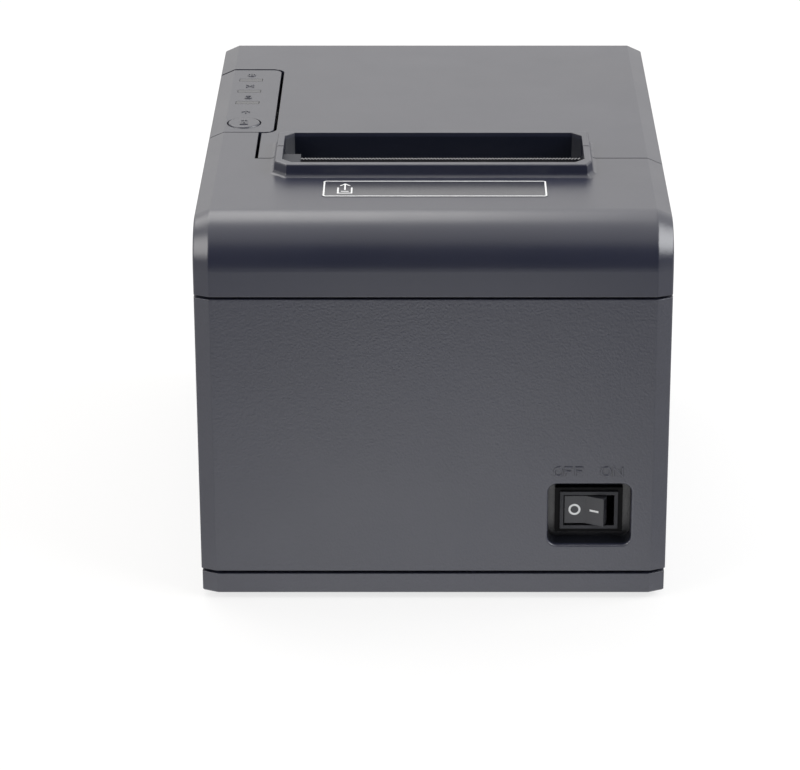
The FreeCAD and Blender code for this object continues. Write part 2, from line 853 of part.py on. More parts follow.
# Upper case: one bevelled form and its hollow, shared by the front cover, the lid and the control panel
def upper_form(name, inset):
    """The rounded and bevelled block of the upper case, drawn in by an inset."""
    x = f"body_width/2-({inset})"
    y = f"body_depth/2-({inset})"
    top = f"body_height-({inset})"
    outline = [(minus(x), minus(y)), (x, minus(y)), (x, y), (minus(x), y)]
    body = prism(name, "XY", outline, ("base_top", top))
    inset_now = mm("wall") if "wall" in inset else 0
    side = mm("body_width") / 2 - inset_now
    end = mm("body_depth") / 2 - inset_now
    height = mm("body_height") - inset_now
    dress(body, "Fillet", {"Radius": f"front_round-({inset})"}, lambda edge: near(edge, y=-end, z=height))
    dress(body, "Fillet", {"Radius": "rear_round"}, lambda edge: near(edge, y=end, z=height))
    for sign in (1, -1):
        dress(body, "Chamfer", {"Size": "bevel_face", "Size2": "bevel_side"},
              lambda edge: near(edge, x=sign * side) and not near(edge, z=mm("base_top")),
              ChamferType="Two distances")
        top_edge = max(sign * corner.X for corner in body.Shape.Vertexes if abs(corner.Z - height) < TOUCH)
        if abs(top_edge - side + mm("bevel_face")) > TOUCH:
            body.Tip.FlipDirection = True
            doc.recompute()
    if not inset_now:
        dress(body, "Fillet", {"Radius": "bevel_soft"},
              lambda edge: on_bevel(edge, side) and not near(edge, z=mm("base_top")))
    return body


upper_shell = without("upper_shell", upper_form("upper_outer", "0"), upper_form("upper_inner", "wall"))
wide = "body_width"
deep = "body_depth"
lid_left = "(panel_right+panel_side_gap)"
lid_notch_front = "(panel_front-panel_lid_gap)"
lid_notch_rear = "(panel_rear+panel_rear_gap)"
strip_lid = "(strip_right+strip_gap)"
cover_rear = "(lid_front-lid_seam)"
lid_plan = prism(
    "lid_plan",
    "XY",
    [
        (wide, "lid_front"),
        (wide, deep),
        (minus(wide), deep),
        (minus(wide), lid_notch_rear),
        (lid_left, lid_notch_rear),
        (lid_left, lid_notch_front),
        (strip_lid, lid_notch_front),
        (strip_lid, "lid_front"),
    ],
    (COVER_LOW, "2*body_height"),
)
dress(
    lid_plan,
    "Fillet",
    {"Radius": "panel_corner+panel_side_gap"},
    lambda edge: upright(edge) and near(edge, x=mm("panel_right") + mm("panel_side_gap")),
)
front_plan = prism("front_plan", "XY", [
    (minus(wide), minus(deep)), (wide, minus(deep)), (wide, cover_rear), ("strip_right", cover_rear),
    ("strip_right", "panel_front-panel_end_gap"), (minus(wide), "panel_front-panel_end_gap"),
], (COVER_LOW, "2*body_height"))
panel_plan = prism("panel_plan", "XY", [
    (minus(wide), "panel_front"), ("panel_right", "panel_front"), ("panel_right", "panel_rear"),
    (minus(wide), "panel_rear"),
], (COVER_LOW, "2*body_height"))
dress(
    panel_plan,
    "Fillet",
    {"Radius": "panel_corner"},
    lambda edge: near(edge, x=mm("panel_right")) and not near(
        edge, y=(mm("panel_front") + mm("panel_rear")) / 2
    ),
)


def well_outline(grow, corner):
    """The eight-sided plan of the paper well, grown by a margin."""
    x = f"(well_half+({grow}))"
    front = f"(well_front-({grow}))"
    rear = f"(well_rear+({grow}))"
    return [
        (minus(x), f"{front}+{corner}"),
        (f"-{x}+{corner}", front),
        (f"{x}-{corner}", front),
        (x, f"{front}+{corner}"),
        (x, f"{rear}-{corner}"),
        (f"{x}-{corner}", rear),
        (f"-{x}+{corner}", rear),
        (minus(x), f"{rear}-{corner}"),
    ]


well_hole = prism("well_hole", "XY", well_outline("0", "well_corner"), ("0", "2*body_height"))
rim_outer = prism(
    "rim_outer",
    "XY",
    well_outline("rim_width+rim_flare", "well_corner+rim_width/2"),
    (UNDER_TOP, RIM_TOP),
    taper="-atan(rim_flare/(rim_rise+wall))",
)
rim_soft_top = rounded("rim_soft_top", rim_outer, mm("rim_soft"),
                       lambda edge: near(edge, z=mm("body_height") + mm("rim_rise")))
well_walls = prism(
    "well_walls", "XY", well_outline("rim_width", "well_corner+rim_width/2"), ("well_floor", UNDER_TOP)
)
rim = without("rim", joined("rim_solid", rim_soft_top, well_walls), well_hole)

# Front cover: slides forward; carries the front of the rim, a floor in front of the exit and the tear bar
exit_rear = "(exit_front+exit_width)"
front_floor = block("front_floor", both("well_half+rim_width/2"), ("well_front-rim_width/2", "exit_front"),
                    ("well_floor", "well_floor+well_floor_thick"))
corner_block = block("corner_block", ("-well_half-rim_width/2", "tear_bar_left"),
                     ("well_front-rim_width/2", "tear_rear+corner_depth"),
                     ("well_floor", f"{RIM_TOP}-block_drop"))
cover_skin = without("cover_skin", within("cover_part", upper_shell, front_plan), well_hole)
cover_rim = within("cover_rim", rim, front_plan)
well_plan = prism(
    "well_plan", "XY", well_outline("rim_width/2", "well_corner+rim_width/4"), ("0", "2*body_height")
)
tear_groove = block(
    "tear_groove",
    ("tear_bar_left", "tear_bar_right"),
    ("tear_rear-tear_bar_thick-run_gap", "tear_rear"),
    ("well_floor+well_floor_thick/2", FAR),
)
front_floor_solid = joined("front_floor_solid", front_floor, corner_block)
front_floor_part = without(
    "front_floor_part", within("front_floor_cut", front_floor_solid, well_plan), tear_groove
)


def rim_foot(edge):
    """Whether an edge lies where the rim stands on the top of the case."""
    grow = mm("rim_width") + mm("rim_flare")
    middle = edge.CenterOfMass
    return (near(edge, z=mm("body_height")) and abs(middle.x) < mm("well_half") + grow
            and mm("well_front") - grow < middle.y < mm("well_rear") + grow)


front_cover_solid = joined("front_cover_solid", cover_skin, cover_rim, front_floor_part)
piece("front_cover", rounded("front_cover_soft", front_cover_solid, mm("rim_foot"), rim_foot))


def tear_bar_shape():
    """A strip with a saw-toothed upper edge."""
    left = mm("tear_bar_left") + mm("run_gap")
    right = mm("tear_bar_right") - mm("run_gap")
    low = mm("well_floor") + mm("well_floor_thick") / 2
    top = mm("body_height") + mm("rim_rise") - mm("tear_bar_drop")
    rear = mm("tear_rear")
    count = int((right - left) / mm("tear_pitch"))
    step = (right - left) / count
    outline = [FreeCAD.Vector(right, rear, low), FreeCAD.Vector(right, rear, top - mm("tear_depth"))]
    for i in range(count):
        outline.append(FreeCAD.Vector(right - (i + 0.5) * step, rear, top))
        outline.append(FreeCAD.Vector(right - (i + 1) * step, rear, top - mm("tear_depth")))
    outline.append(FreeCAD.Vector(left, rear, low))
    face = Part.Face(Part.makePolygon(outline + [outline[0]]))
    return face.extrude(FreeCAD.Vector(0, -mm("tear_bar_thick"), 0))


piece("tear_bar", drawn("tear_bar_solid", tear_bar_shape()))

# Lid: skin, rear of the rim, nose under the well, hinge tongues, carrier bosses and the catch
nose_front = exit_rear
lid_skin = without("lid_skin", within("lid_part", upper_shell, lid_plan), well_hole)
lid_rim = within("lid_rim", rim, lid_plan)
lid_nose = block("lid_nose", both("well_half-fit_gap"), (nose_front, "well_rear+rim_width"),
                 ("well_floor-well_floor_thick", "well_floor"))
lid_nose_top = within(
    "lid_nose_top",
    block(
        "lid_nose_block",
        both("well_half+rim_width"),
        (nose_front, "well_rear+rim_width"),
        ("well_floor", "well_floor+well_floor_thick"),
    ),
    well_plan,
)
lid_adds = [lid_skin, lid_rim, lid_nose, lid_nose_top]
lid_cuts = []
carrier_screws = []
for number, side in enumerate((1, -1)):
    at = (signed(side, "carrier_screw_x"), "carrier_screw_y")
    lid_adds.append(
        rod(
            f"carrier_boss_{number}",
            "z",
            at,
            ("well_floor-well_floor_thick", f"{UNDER_TOP}+wall/2"),
            "boss_radius-wall/2",
        ),
    )
    lid_cuts.append(rod(f"carrier_bore_{number}", "z", at, ("well_floor-well_floor_thick", UNDER_TOP),
                        "screw_radius+run_gap"))
    carrier_screws.append(screw(f"carrier_screw_{number}", "z", at, "beam_low", "well_floor-beam_low", 1))
    middle = signed(side, "hinge_middle")
    lid_adds.append(block(f"hinge_tongue_{number}", about(middle, "hinge_tongue"), (hinge_y, REAR),
                          (hinge_z, f"{COVER_LOW}+wall*2")))
    lid_adds.append(
        rod(
            f"hinge_barrel_{number}", "x", (hinge_y, hinge_z), about(middle, "hinge_tongue"), "hinge_radius"
        ),
    )
    lid_cuts.append(rod(f"hinge_bore_{number}", "x", (hinge_y, hinge_z), about(middle, "hinge_tongue+wall"),
                        "hinge_pin_radius+run_gap"))
catch_top = "(latch_top-latch_nose-fit_gap)"
lid_adds.append(
    block(
        "lid_catch",
        (f"{INNER}-catch_depth", f"{INNER}+wall/2"),
        about("latch_y", "latch_width+wall"),
        (f"{catch_top}-catch_height", catch_top),
    ),
)
lid_solid = without("lid_solid", joined("lid_body", *lid_adds), *lid_cuts)
piece("lid_cover", rounded("lid_soft", lid_solid, mm("rim_foot"), rim_foot))
piece("carrier_screws", group("carrier_screw_group", *carrier_screws))

# Control panel: a fixed cap at the left with holes for the button and the lamps, and posts for its board
lamp_x = "button_x"
lamp_rows = ["lamp_rear", "lamp_rear-lamp_pitch", "lamp_rear-2*lamp_pitch"]
board_left = f"(-{INNER}+tongue+fit_gap*2+panel_board_margin)"
board_right = "(panel_right-panel_wall-panel_board_margin)"
panel_board_front = "(panel_front+panel_wall+panel_board_margin)"
panel_board_rear = "(panel_rear-panel_wall-panel_board_margin)"
PANEL_BOARD_TOP = "(panel_board_z+board_thick)"
panel_core = block("panel_core", (minus(wide), "panel_right-panel_wall"),
                   ("panel_front+panel_wall", "panel_rear-panel_wall"), ("0", UNDER_TOP))
panel_hollow = within("panel_hollow", doc.getObject("upper_inner"), panel_core)
panel_adds = [
    without("panel_cap", within("panel_part", doc.getObject("upper_outer"), panel_plan), panel_hollow)
]
panel_cuts = [rod("button_hole", "z", ("button_x", "button_y"), (f"{UNDER_TOP}-wall", "2*body_height"),
                  "button_radius+button_gap")]
panel_cuts.append(block("panel_tongue_room", (f"-{INNER}", f"-{INNER}+tongue+fit_gap*2"),
                        ("panel_front-wall", "panel_rear+wall"), ("0", f"{TONGUE_TOP}+fit_gap")))
button_edge = "(button_y+button_radius+button_flange)"
lamp_edge = f"({lamp_rows[-1]}-led_depth/2)"
panel_screw_at = [
    ("button_x", f"{panel_board_rear}-panel_post_radius-wall/2"),
    ("button_x", f"({button_edge}+{lamp_edge})/2"),
]
for number, at in enumerate(panel_screw_at):
    panel_adds.append(
        rod(f"panel_post_{number}", "z", at, (PANEL_BOARD_TOP, f"{UNDER_TOP}+wall/2"), "panel_post_radius")
    )
windows = []
leds = []
for number, y in enumerate(lamp_rows):
    panel_cuts.append(
        block(
            f"lamp_hole_{number}",
            about(lamp_x, "lamp_width+2*lamp_gap"),
            about(y, "lamp_depth+2*lamp_gap"),
            (f"{UNDER_TOP}-wall", "2*body_height"),
        ),
    )
    led_top = f"({PANEL_BOARD_TOP}+led_height)"
    windows.append(block(f"lamp_{number}", about(lamp_x, "lamp_width"), about(y, "lamp_depth"),
                         (f"{led_top}+fit_gap", "body_height")))
    leds.append(
        block(
            f"led_{number}", about(lamp_x, "led_width"), about(y, "led_depth"), (PANEL_BOARD_TOP, led_top)
        ),
    )
piece("control_panel", without("panel_solid", joined("panel_body", *panel_adds), *panel_cuts))
piece("indicator_windows", group("window_group", *windows))
piece("indicator_leds", group("led_group", *leds))
piece(
    "panel_board",
    block(
        "panel_board_solid",
        (board_left, board_right),
        (panel_board_front, panel_board_rear),
        ("panel_board_z", PANEL_BOARD_TOP),
    ),
)
tact_top = f"({PANEL_BOARD_TOP}+tact_height)"
piece(
    "tact_switch",
    joined(
        "tact_solid",
        block(
            "tact_case",
            about("button_x", "tact_size"),
            about("button_y", "tact_size"),
            (PANEL_BOARD_TOP, f"{tact_top}-fit_gap"),
        ),
        rod("tact_top", "z", ("button_x", "button_y"), (PANEL_BOARD_TOP, tact_top), "button_stem-fit_gap"),
    ),
)
flange_top = f"({UNDER_TOP}-button_drop)"
button_cap = rod(
    "button_cap",
    "z",
    ("button_x", "button_y"),
    (f"{flange_top}-button_flange_thick", "body_height+button_proud"),
    "button_radius",
)
button_soft = rounded("button_soft", button_cap, mm("button_round"),
                      lambda edge: near(edge, z=mm("body_height") + mm("button_proud")))
piece(
    "feed_button",
    joined(
        "button_solid",
        button_soft,
        block(
            "button_tabs",
            about("button_x", "2*button_stem"),
            about("button_y", "2*(button_radius+button_gap+button_flange)"),
            (f"{flange_top}-button_flange_thick", flange_top),
        ),
        rod(
            "button_stem_rod",
            "z",
            ("button_x", "button_y"),
            (f"{tact_top}+button_travel", flange_top),
            "button_stem",
        ),
    ),
)

# Power switch: frame and body in the pocket, terminals, and the rocker tilted to its resting side
switch_face = f"({pocket_back}-switch_frame_thick)"
switch_rear = f"({pocket_back}+switch_body_depth)"
pivot_y = f"({switch_face}+rocker_pivot)"
switch_solid = joined(
    "switch_solid",
    block("switch_frame", about("pocket_middle", "switch_frame_width"), (switch_face, pocket_back),
          about("switch_z", "switch_frame_height")),
    block("switch_rim", about("pocket_middle", "switch_well_width+2*switch_lip"),
          (f"{switch_face}-switch_lip_rise", switch_face),
          about("switch_z", "switch_well_height+2*switch_lip")),
    block("switch_case", about("pocket_middle", "switch_body_width"), (switch_face, switch_rear),
          about("switch_z", "switch_body_height")))
piece(
    "switch_body",
    without(
        "switch_body_solid",
        switch_solid,
        block(
            "switch_well",
            about("pocket_middle", "switch_well_width"),
            (f"{switch_face}-wall", f"{switch_face}+switch_well_depth"),
            about("switch_z", "switch_well_height"),
        ),
        rod(
            "switch_pivot",
            "z",
            ("pocket_middle", pivot_y),
            about("switch_z", "rocker_height+2*rocker_pin_length+2*fit_gap"),
            "rocker_pin_radius+run_gap",
        ),
    ),
)
terminals = [block(f"terminal_{number}", about(f"pocket_middle+{side}*terminal_pitch", "terminal_thick"),
                   (switch_rear, f"{switch_rear}+terminal_length"), about("switch_z", "terminal_width"))
             for number, side in enumerate((-1, 0, 1))]
piece("switch_terminals", group("terminal_group", *terminals))


def turned(across, forward):
    """A rocker outline corner tilted about its pivot on to the resting side."""
    x = f"(({across})*cos(rocker_tilt)-({forward})*sin(rocker_tilt))"
    y = f"(({across})*sin(rocker_tilt)+({forward})*cos(rocker_tilt))"
    return f"pocket_middle+{x}", f"{pivot_y}-{y}"


half_rocker = [
    ("rocker_face", "rocker_ridge"),
    ("rocker_shoulder", "rocker_shoulder_level"),
    ("rocker_heel", "0"),
    ("rocker_sole", "-rocker_sole"),
]
rocker_outline = ([turned("0", "rocker_valley")] + [turned(a, b) for a, b in half_rocker]
                  + [turned(minus(a), b) for a, b in reversed(half_rocker)])
piece("power_rocker", joined(
    "rocker_solid", prism("rocker_block", "XY", rocker_outline, about("switch_z", "rocker_height")),
    rod("rocker_pin", "z", ("pocket_middle", pivot_y), about("switch_z", "rocker_height+2*rocker_pin_length"),
        "rocker_pin_radius")))

# Paper bay: a round-bottomed tray for the roll with a deck for the mechanism, on legs
bay_out = "(bay_radius+bay_wall)"
bay_x = "(bay_half+bay_wall)"
bay_block = joined(
    "bay_block",
    rod("bay_round", "x", ("bay_y", "bay_z"), both(bay_x), bay_out),
    block("bay_box", both(bay_x), (f"bay_y-{bay_out}", f"bay_y+{bay_out}"), ("bay_z", "bay_top")))
bay_room = joined(
    "bay_room",
    rod("bay_room_round", "x", ("bay_y", "bay_z"), both("bay_half"), "bay_radius"),
    block("bay_room_box", both("bay_half"), ("bay_y-bay_radius", "bay_y+bay_radius"), ("bay_z", FAR)))
bay_step = block("bay_step", both("bay_half"), (f"bay_y-{bay_out}-wall", "bay_y"), ("bay_front_top", FAR))
bay_adds = [bay_block, block("deck", both("deck_half"), ("deck_front", "bay_y-bay_radius-bay_wall/2"),
                             ("deck_z", "deck_z+bay_wall"))]
bay_adds.append(block("deck_web", both(bay_x), (f"bay_y-{bay_out}", "bay_y"), ("deck_z", "deck_z+bay_wall")))
for number, (side, _) in enumerate(corners):
    front = number % 2 == 0
    middle_x = signed(side, "bay_half+bay_wall+leg_width/2-leg_bite")
    middle_y = "leg_front" if front else "leg_rear"
    bay_adds.append(block(f"leg_{number}", about(middle_x, "leg_width"), about(middle_y, "leg_width"),
                          (FLOOR, "deck_z+bay_wall/2" if front else "bay_z+bay_wall")))
sensor_hole = block(
    "sensor_hole",
    about("sensor_x", "sensor_width+2*run_gap"),
    (f"bay_y-{bay_out}-wall", "bay_y"),
    about("sensor_z", "sensor_height+2*run_gap"),
)
frame_low = "(deck_z+bay_wall)"
mech_x = "(plate_inner-boss_radius)"
mech_ends = ("(frame_front+boss_radius+wall)", "(frame_rear-boss_radius)")
mech_screws = []
cheek_trim = block("cheek_trim", both(f"{bay_x}+wall"), (f"bay_y-{bay_out}", f"bay_y+{bay_out}"),
                   ("body_height-cheek_drop", f"{FAR}+{bay_out}"))
bay_cuts = [bay_room, bay_step, sensor_hole, cheek_trim]
frame_cuts = []
for number, (side, end) in enumerate([(side, end) for side in (1, -1) for end in mech_ends]):
    at = (signed(side, mech_x), end)
    bay_cuts.append(rod(f"deck_bore_{number}", "z", at, ("deck_z-wall", frame_low), "screw_radius+run_gap"))
    frame_cuts.append(
        rod(
            f"frame_bore_{number}",
            "z",
            at,
            (frame_low, f"{frame_low}+frame_floor"),
            "screw_radius+screw_clear",
        ),
    )
    mech_screws.append(
        screw(f"mech_screw_{number}", "z", at, f"{frame_low}+frame_floor", "frame_floor+bay_wall", -1)
    )
piece("paper_bay", without("bay_solid", joined("bay_body", *bay_adds), *bay_cuts))
piece("mechanism_screws", group("mech_screw_group", *mech_screws))
piece("paper_sensor", block("sensor_solid", about("sensor_x", "sensor_width"),
                            ("bay_y-bay_radius-sensor_depth", "bay_y-bay_radius-run_gap"),
                            about("sensor_z", "sensor_height")))

# Mechanism frame: floor, two side plates with notches for the platen, a front wall and the cutter supports
plate_outer = "(plate_inner+plate_thick)"
platen_gear_radius = "(gear_module*platen_teeth/2)"
idler_radius = "(gear_module*idler_teeth/2)"
pinion_radius = "(gear_module*pinion_teeth/2)"
idler_reach = f"({platen_gear_radius}+{idler_radius}+gear_gap)"
motor_reach = f"({idler_radius}+{pinion_radius}+gear_gap)"
idler_y = f"(platen_y-{idler_reach}*sin(idler_angle))"
idler_z = f"(platen_z-{idler_reach}*cos(idler_angle))"
motor_y = f"({idler_y}-{motor_reach}*sin(motor_angle))"
motor_z = f"({idler_z}-{motor_reach}*cos(motor_angle))"
head_y = "(platen_y-platen_radius-head_gap-head_plate-head_sink/2)"
cutter_gear_radius = "(gear_module*cutter_teeth/2)"
cutter_pinion_radius = "(gear_module*cutter_pinion_teeth/2)"
cutter_motor_y = f"(cutter_y-{cutter_gear_radius}-{cutter_pinion_radius}-gear_gap)"
cutter_motor_top = "(cutter_gear_low-wall/2)"
shelf_low = "(cutter_gear_low-wall/2-cutter_motor_length-cutter_shelf)"
ledge_low = "(front_wall_top-frame_floor)"
frame_adds = [
    block(
        "frame_floor_plate",
        both(plate_outer),
        ("frame_front", "frame_rear"),
        (frame_low, f"{frame_low}+frame_floor"),
    ),
    block(
        "frame_front_wall",
        both(plate_outer),
        ("frame_front", "frame_front+frame_floor"),
        (frame_low, "front_wall_top"),
    ),
    block(
        "cutter_ledge",
        about("cutter_x", "4*cutter_post"),
        ("frame_front", "cutter_y+cutter_post+wall/2"),
        (ledge_low, "front_wall_top"),
    ),
    rod(
        "cutter_axle_post",
        "z",
        ("cutter_x", "cutter_y"),
        (ledge_low, "cutter_gear_low-run_gap"),
        "cutter_post",
    ),
    rod(
        "cutter_axle",
        "z",
        ("cutter_x", "cutter_y"),
        (ledge_low, "plate_top+bed_thick+blade_thick*2"),
        "axle_radius",
    ),
    block(
        "cutter_shelf_plate",
        about("cutter_x", "cutter_motor_radius*2+wall"),
        (f"{cutter_motor_y}-cutter_motor_radius-wall/2", "frame_front+frame_floor/2"),
        (shelf_low, f"{shelf_low}+cutter_shelf"),
    ),
]
for number, side in enumerate((1, -1)):
    x = ("plate_inner", plate_outer) if side > 0 else (minus(plate_outer), "-plate_inner")
    frame_adds.append(
        block(f"side_plate_{number}", x, ("frame_front", "frame_rear"), (frame_low, "plate_top"))
    )
notch_y = ("platen_y-bushing_radius-bushing_gap", "platen_y+bushing_radius+notch_gap")
frame_cuts += [
    block("platen_notch", both(f"{plate_outer}+wall"), notch_y, ("platen_z", "plate_top+wall")),
    rod(
        "platen_seat",
        "x",
        ("platen_y", "platen_z"),
        both(f"{plate_outer}+wall"),
        "bushing_radius+bushing_gap",
    ),
    rod(
        "head_pin_seat",
        "x",
        (head_y, "head_pivot_z"),
        both(f"{plate_outer}+wall"),
        "head_pin_radius+run_gap/2",
    ),
    rod(
        "idler_seat",
        "x",
        (idler_y, idler_z),
        ("plate_inner-wall", f"{plate_outer}+wall"),
        "axle_radius+run_gap/2",
    ),
    rod(
        "motor_hole",
        "x",
        (motor_y, motor_z),
        ("plate_inner-wall", f"{plate_outer}+wall"),
        "motor_shaft+wall",
    ),
]
piece("mechanism_frame", without("frame_solid", joined("frame_body", *frame_adds), *frame_cuts))
piece("head_pin", rod("head_pin_rod", "x", (head_y, "head_pivot_z"), both(plate_outer), "head_pin_radius"))
piece(
    "idler_axle",
    joined(
        "idler_axle_solid",
        rod(
            "idler_axle_rod",
            "x",
            (idler_y, idler_z),
            ("plate_inner", "gear_x+gear_thick+end_play"),
            "axle_radius",
        ),
        rod(
            "idler_axle_head",
            "x",
            (idler_y, idler_z),
            ("gear_x+gear_thick+end_play", "gear_x+gear_thick+end_play+axle_head"),
            "axle_radius+axle_rim",
        ),
    ),
)
piece(
    "feed_motor",
    without(
        "feed_motor_solid",
        rod(
            "motor_can",
            "x",
            (motor_y, motor_z),
            ("plate_inner-motor_length", "plate_inner"),
            "motor_radius",
        ),
        rod(
            "motor_bearing",
            "x",
            (motor_y, motor_z),
            ("plate_inner-motor_length/2", "plate_inner+wall"),
            "motor_shaft+run_gap",
        ),
    ),
)
piece(
    "cover_switch",
    joined(
        "cover_switch_solid",
        block(
            "cover_switch_case",
            (f"-{plate_outer}-cover_switch_width", f"-{plate_outer}"),
            ("frame_rear-cover_switch_depth", "frame_rear"),
            ("cover_switch_z-cover_switch_height", "cover_switch_z"),
        ),
        block(
            "cover_switch_arm",
            about(f"-{plate_outer}-cover_switch_width/2", "cover_switch_width/2"),
            ("frame_rear-cover_switch_depth", "frame_rear-wall"),
            ("cover_switch_z", "cover_switch_z+cover_switch_lever"),
        ),
    ),
)


def gear_outline(teeth, phase):
    """Corners of a spur gear with involute flanks, thinned a little for backlash, about its own axis."""
    module = mm("gear_module")
    pitch = module * teeth / 2
    base = pitch * math.cos(math.radians(mm("gear_pressure")))
    outer = pitch + module * mm("gear_addendum")
    root = pitch - module * mm("gear_dedendum")

    def involute(radius):
        angle = math.acos(min(1.0, base / radius))
        return math.tan(angle) - angle

    half = math.pi / (2 * teeth) - mm("gear_gap") / (2 * pitch)
    start = max(base, root)
    radii = [start + (outer - start) * i / FLANK_STEPS for i in range(FLANK_STEPS + 1)]
    flank = [(radius, half + involute(pitch) - involute(radius)) for radius in radii]
    if root < base:
        flank.insert(0, (root, flank[0][1]))
    points = []
    for tooth in range(teeth):
        middle = phase + 2 * math.pi * tooth / teeth
        points += [(radius, middle - angle) for radius, angle in flank]
        points += [(radius, middle + angle) for radius, angle in reversed(flank)]
    return [(radius * math.cos(angle), radius * math.sin(angle)) for radius, angle in points]


def gear_shape(teeth, phase, axis, centre, span, bore):
    """A gear along X or Z between two limits, with a round bore."""
    outline = gear_outline(teeth, phase)
    if axis == "x":
        corners_at = [FreeCAD.Vector(span[0], centre[0] + a, centre[1] + b) for a, b in outline]
        way = FreeCAD.Vector(1, 0, 0)
        middle = FreeCAD.Vector(span[0], centre[0], centre[1])
    else:
        corners_at = [FreeCAD.Vector(centre[0] + a, centre[1] + b, span[0]) for a, b in outline]
        way = FreeCAD.Vector(0, 0, 1)
        middle = FreeCAD.Vector(centre[0], centre[1], span[0])
    solid = Part.Face(Part.makePolygon(corners_at + [corners_at[0]])).extrude(way * (span[1] - span[0]))
    if bore:
        solid = solid.cut(Part.makeCylinder(bore, span[1] - span[0], middle, way))
    return solid


def meshed(phase, angle, radius, other_radius, other_teeth):
    """Phase of a second gear that sets a gap against the first gear's tooth along the line between them."""
    return angle + math.pi - (phase - angle) * radius / other_radius + math.pi / other_teeth


# Feed gears: platen gear, idler and motor pinion in mesh outside the right side plate
platen_teeth = int(mm("platen_teeth"))
idler_teeth = int(mm("idler_teeth"))
pinion_teeth = int(mm("pinion_teeth"))
module = mm("gear_module")
platen_at = (mm("platen_y"), mm("platen_z"))
reach = module * (platen_teeth + idler_teeth) / 2 + mm("gear_gap")
lean = math.radians(mm("idler_angle"))
idler_at = (platen_at[0] - reach * math.sin(lean), platen_at[1] - reach * math.cos(lean))
motor_lean = math.radians(mm("motor_angle"))
reach = module * (idler_teeth + pinion_teeth) / 2 + mm("gear_gap")
motor_at = (idler_at[0] - reach * math.sin(motor_lean), idler_at[1] - reach * math.cos(motor_lean))
to_idler = math.atan2(idler_at[1] - platen_at[1], idler_at[0] - platen_at[0])
to_motor = math.atan2(motor_at[1] - idler_at[1], motor_at[0] - idler_at[0])
idler_phase = meshed(to_idler, to_idler, platen_teeth, idler_teeth, idler_teeth)
pinion_phase = meshed(idler_phase, to_motor, idler_teeth, pinion_teeth, pinion_teeth)
gear_span = (mm("gear_x"), mm("gear_x") + mm("gear_thick"))
piece("platen_gear", drawn("platen_gear_solid", gear_shape(
    platen_teeth, to_idler, "x", platen_at, gear_span, mm("shaft_tip_radius"))))
piece("idler_gear", drawn("idler_gear_solid", gear_shape(
    idler_teeth, idler_phase, "x", idler_at, gear_span, mm("axle_radius") + mm("run_gap"))))
motor_shaft = Part.makeCylinder(
    mm("motor_shaft"),
    gear_span[1] - mm("plate_inner") + mm("motor_length") / 3,
    FreeCAD.Vector(mm("plate_inner") - mm("motor_length") / 3, *motor_at),
    FreeCAD.Vector(1, 0, 0),
)
piece("feed_pinion", drawn("feed_pinion_solid", gear_shape(
    pinion_teeth, pinion_phase, "x", motor_at, gear_span, 0).fuse(motor_shaft).removeSplitter()))

# Platen on the lid: shaft, rubber, bushings and the carrier that hangs it under the nose
platen = ("platen_y", "platen_z")
piece("platen_shaft", joined(
    "platen_shaft_solid",
    rod("platen_shaft_rod", "x", platen, ("-shaft_end", "gear_x-end_play/2"), "shaft_radius"),
    rod("platen_shaft_end", "x", platen, ("0", "gear_x+gear_thick+end_play"), "shaft_tip_radius")))
piece("platen_rubber", without(
    "platen_rubber_solid", rod("platen_rubber_rod", "x", platen, both("platen_half"), "platen_radius"),
    rod("platen_rubber_bore", "x", platen, both("platen_half+wall"), "shaft_radius")))
bushings = []
for number, side in enumerate((1, -1)):
    span = ("plate_inner", plate_outer) if side > 0 else (minus(plate_outer), "-plate_inner")
    bushings.append(without(
        f"bushing_{number}", rod(f"bushing_ring_{number}", "x", platen, span, "bushing_radius"),
        rod(f"bushing_bore_{number}", "x", platen, span, "shaft_radius+run_gap")))
    reach_in = ("carrier_outer", "plate_inner") if side > 0 else ("-plate_inner", "-carrier_outer")
    bushings[-1] = joined(
        f"bushing_full_{number}",
        bushings[-1],
        without(
            f"bushing_hub_{number}",
            rod(f"bushing_hub_ring_{number}", "x", platen, reach_in, "shaft_radius+bushing_hub"),
            rod(f"bushing_hub_bore_{number}", "x", platen, reach_in, "shaft_radius+run_gap"),
        ),
    )
piece("platen_bushings", group("bushing_group", *bushings))
carrier_adds = [block("carrier_beam", both("carrier_outer"), ("beam_front", "beam_rear"),
                      ("beam_low", "well_floor-well_floor_thick"))]
for number, side in enumerate((1, -1)):
    x = ("carrier_outer-carrier_thick", "carrier_outer") if side > 0 else (
        "-carrier_outer", "-carrier_outer+carrier_thick"
    )
    carrier_adds.append(
        block(f"carrier_arm_{number}", x, ("carrier_front", "beam_rear"), ("carrier_low", "carrier_top"))
    )
carrier_cuts = [rod("carrier_shaft_bore", "x", platen, both("carrier_outer+wall"), "shaft_radius+run_gap")]
for number, side in enumerate((1, -1)):
    carrier_cuts.append(
        rod(
            f"carrier_screw_bore_{number}",
            "z",
            (signed(side, "carrier_screw_x"), "carrier_screw_y"),
            ("beam_low-wall", FAR),
            "screw_radius+screw_clear",
        ),
    )
carrier_cuts.append(
    block(
        "carrier_blade_step",
        both("blade_half+fit_gap"),
        (nose_front, f"{nose_front}+fixed_blade_depth+fit_gap"),
        ("plate_top", FAR),
    ),
)
piece("platen_carrier", without("carrier_solid", joined("carrier_body", *carrier_adds), *carrier_cuts))
blade_low = "(plate_top+bed_thick+blade_gap)"
fixed_low = f"({blade_low}+blade_thick+blade_gap)"
piece("fixed_blade", block("fixed_blade_solid", both("blade_half"),
                           (f"{nose_front}-fixed_blade_lead", f"{nose_front}+fixed_blade_depth"),
                           (fixed_low, "well_floor-well_floor_thick")))

